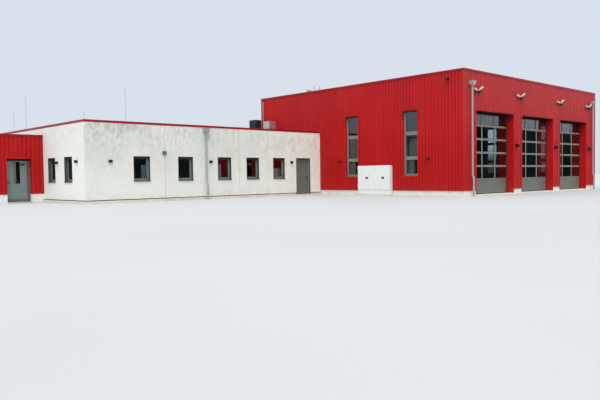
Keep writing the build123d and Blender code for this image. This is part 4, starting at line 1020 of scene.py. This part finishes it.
def lamp_parts():
    """Lenses, fins and drivers of the floodlights, wall lamp diffusers, wedge cores."""
    lenses, fins, covers, drivers, cores = (bmesh.new() for _ in range(5))
    for x in FLOODLIGHTS:
        for side, tilt, start, length in HEADS:
            lean = math.radians(tilt)
            place = lay((side * math.cos(lean), 0, math.sin(lean)), (0, 1, 0),
                        (-side * math.sin(lean), 0, math.cos(lean)),
                        (x + side * 0.05, FLOODLIGHT_OUT, FLOODLIGHT_LEVEL))
            ring(lenses, place, (start, length - 0.006), (-0.042, 0.042), 0.008,
                 (-HEAD_HALF, -HEAD_HALF - 0.005), 0.0015)
            block(lenses, place, (start + 0.008, length - 0.014), (-0.034, 0.034),
                  (-HEAD_HALF - 0.003, -HEAD_HALF + 0.001), 0.001)
            for i in range(7):
                across = -0.036 + 0.012 * i
                block(fins, place, (0.06, length - 0.015), (across - 0.0015, across + 0.0015),
                      (HEAD_HALF, HEAD_HALF + 0.01), 0.0007)
            if side > 0:
                block(drivers, place, (-0.03, 0.27), (-0.052, 0.052),
                      (-0.15, -HEAD_HALF - 0.045), 0.012, 2)
                for i in range(8):
                    at = 0.01 + 0.032 * i
                    block(drivers, place, (at - 0.003, at + 0.003), (-0.05, 0.05),
                          (-0.16, -0.14), 0.001)
    for place, spots in WALL_LAMPS:
        for at in spots:
            block(covers, place, (at - 0.062, at + 0.062), (LAMP_FOOT - 0.004, LAMP_FOOT),
                  (0.015, 0.098), 0.001)
    for x in WEDGES:
        block(cores, ON_FRONT, (x - 0.027, x + 0.027),
              (WEDGE_LEVEL - 0.03, WEDGE_LEVEL + 0.03), (0.055, 0.1), 0.006, 2)
    piece("wedge_lamp_cores", cores, FITTING_BLACK)
    piece("floodlight_lenses", lenses, LENS_PALE)
    piece("floodlight_fins", fins, HEAD_CREAM)
    piece("floodlight_driver_coolers", drivers, FITTING_BLACK)
    piece("wall_lamp_diffusers", covers, LENS_PALE)


# ---- Rainwater pipes and roof equipment ----

# run, wall face, level of the hopper, level of the elbow
PIPES = (
    (-7.6046, HALL_FRONT, 5.99, 1.08),
    (7.6151, HALL_FRONT, 5.99, 1.08),
    (-16.9749, OFFICE_FRONT, 3.83, 0.9),
)
COLLAR, SLEEVE = 0.0545, 0.067
VENT_WIDTH, VENT_DEPTH, VENT_TOP = (-9.125, -8.585), (7.7, 8.33), 5.08
LOUVRES, LOUVRE_PITCH, LOUVRE_TILT = 17, 0.048, -35
DUCT_LEFT, DUCT_DEPTH = -8.825, (6.56, 7.19)
DUCT_JOINTS = (4.02, 4.45, 4.88)


def pipe_parts():
    """Collars and sleeves on the rainwater pipes, and the rims of their hoppers."""
    collars, rims = bmesh.new(), bmesh.new()
    for x, face, hopper, bend in PIPES:
        upper, lower = face - 0.11, face - 0.18
        for level in (bend + 0.12, bend + 2.1, bend + 4.1):
            if level < hopper - 0.5:
                drum(collars, shift(x, upper, level), COLLAR, 0.07, 24, 1.0, 0.004)
        drum(collars, shift(x, lower, bend - 0.26), COLLAR, 0.05, 24, 1.0, 0.004)
        drum(collars, shift(x, lower, bend / 2 - 0.03), SLEEVE, 0.04, 24, 1.0, 0.004)
        drum(collars, shift(x, lower, 0.02), SLEEVE, 0.03, 24, 1.0, 0.004)
        over = shift(x, face - 0.12, 0)
        ring(rims, over, (-0.152, 0.152), (-0.127, 0.12), 0.01, (hopper - 0.03, hopper + 0.004))
        ring(rims, over, (-0.149, 0.149), (-0.124, 0.12), 0.006,
             (hopper - 0.172, hopper - 0.16))
    piece("pipe_collars", collars, PIPE_ZINC)
    piece("hopper_rims", rims, PIPE_ZINC)


def roof_equipment():
    """Louvres round the vent unit, flanges round the duct."""
    louvres, flanges = bmesh.new(), bmesh.new()
    sides = (
        (wall_place("x", VENT_DEPTH[0], -1), VENT_WIDTH),
        (wall_place("x", VENT_DEPTH[1], 1), VENT_WIDTH),
        (wall_place("y", VENT_WIDTH[0], -1), VENT_DEPTH),
        (wall_place("y", VENT_WIDTH[1], 1), VENT_DEPTH),
    )
    for place, (a, b) in sides:
        ring(louvres, place, (a, b), (OFFICE_ROOF + 0.5, VENT_TOP - 0.02), 0.04, (0, 0.008),
             0.002)
        for i in range(LOUVRES):
            level = OFFICE_ROOF + 0.56 + i * LOUVRE_PITCH
            tilt = Matrix.Rotation(math.radians(LOUVRE_TILT), 4, "X")
            block(louvres, place @ shift((a + b) / 2, level, 0.0) @ tilt,
                  (-(b - a) / 2 + 0.04, (b - a) / 2 - 0.04), (-0.001, 0.001), (-0.006, 0.02))
    block(louvres, UPRIGHT, inside(VENT_WIDTH, -0.01), inside(VENT_DEPTH, -0.01),
          (OFFICE_ROOF, OFFICE_ROOF + 0.05), 0.004)
    piece("vent_unit_louvres", louvres, VENT_DARK)
    for level in DUCT_JOINTS:
        for reach, width, rise in ((0.022, 0.0235, (level, level + 0.004)),
                                   (0.003, 0.0045, (level - 0.02, level + 0.02))):
            ring(flanges, UPRIGHT, (DUCT_LEFT - reach, OFFICE_RIGHT),
                 inside(DUCT_DEPTH, -reach), width, rise)
    piece("duct_flanges", flanges, DUCT_ZINC)


# ---- Stage ----

SKY_LIGHT = 0.98
SUN_LIGHT = 1.65
SUN_WAY = (0.56, 0.52, -1.13)


def lay_floor():
    shape = bmesh.new()
    bmesh.ops.create_grid(shape, x_segments=8, y_segments=8, size=220.0,
                          matrix=shift(-8, 3, -0.002))
    made = Finish("pale_floor_paint", 0.9)
    made.set("Specular IOR Level", 0.1)
    pale = made.mix(made.patches(6, 3, 0.3, 0.7), (204, 206, 206), (208, 210, 210))
    made.start(made.node("LightPath").outputs["Is Camera Ray"], (194, 194, 188), pale)
    show("pale_floor", shape, made.done())


def stand_card():
    """A dark card far in front, which only mirrored rays see: panes and paint reflect it."""
    shape = bmesh.new()
    place = shift(70, -60, 5.5) @ Matrix.Rotation(math.radians(90), 4, "X")
    bmesh.ops.create_grid(shape, x_segments=4, y_segments=2, size=1.0,
                          matrix=place @ Matrix.Diagonal((160, 5.6, 1, 1)))
    made = Finish("mirror_card_cloth", 0.95)
    made.set("Specular IOR Level", 0.0)
    made.start(made.patches(7, 4, 0.35, 0.65), (34, 44, 50), (58, 68, 72))
    shown = made.node("MixShader")
    made.link(made.node("LightPath").outputs["Is Glossy Ray"], shown.inputs["Fac"])
    made.link(made.node("BsdfTransparent").outputs[0], shown.inputs[1])
    made.link(made.shader.outputs[0], shown.inputs[2])
    made.link(shown.outputs[0], made.tree.nodes["Material Output"].inputs["Surface"])
    show("mirror_card", shape, made.done())


def light_scene():
    """A soft sun and sky; seen, mirrored or through glass, the sky is a plain pale blue."""
    world = bpy.data.worlds.new("soft_sky")
    bpy.context.scene.world = world
    world.use_nodes = True
    new, link = world.node_tree.nodes.new, world.node_tree.links.new
    sky = world.node_tree.nodes["Background"]
    sky.inputs["Color"].default_value = tone(238, 242, 246)
    sky.inputs["Strength"].default_value = SKY_LIGHT
    back = new("ShaderNodeBackground")
    back.inputs["Color"].default_value = tone(216, 225, 236)
    path = new("ShaderNodeLightPath")
    seen, glossy = new("ShaderNodeMath"), new("ShaderNodeMath")
    seen.operation = glossy.operation = "MAXIMUM"
    link(path.outputs["Is Camera Ray"], seen.inputs[0])
    link(path.outputs["Is Glossy Ray"], glossy.inputs[0])
    link(path.outputs["Is Transmission Ray"], glossy.inputs[1])
    link(glossy.outputs[0], seen.inputs[1])
    choose = new("ShaderNodeMixShader")
    link(seen.outputs[0], choose.inputs["Fac"])
    link(sky.outputs[0], choose.inputs[1])
    link(back.outputs[0], choose.inputs[2])
    link(choose.outputs[0], world.node_tree.nodes["World Output"].inputs["Surface"])
    data = bpy.data.lights.new("soft_sun", "SUN")
    data.energy = SUN_LIGHT
    data.angle = math.radians(35)
    sun = bpy.data.objects.new("soft_sun", data)
    sun.rotation_euler = Vector(SUN_WAY).to_track_quat("-Z", "Y").to_euler()
    bpy.context.scene.collection.objects.link(sun)


aim_camera()
dress_nodes()
fix_sheet()
foot_drips()
edge_straps()
roof_fields()
bay_parts()
window_parts()
joint_parts()
door_parts()
cabinet_parts()
lamp_parts()
pipe_parts()
roof_equipment()
lay_floor()
stand_card()
light_scene()
bpy.context.scene.view_settings.view_transform = "Standard"
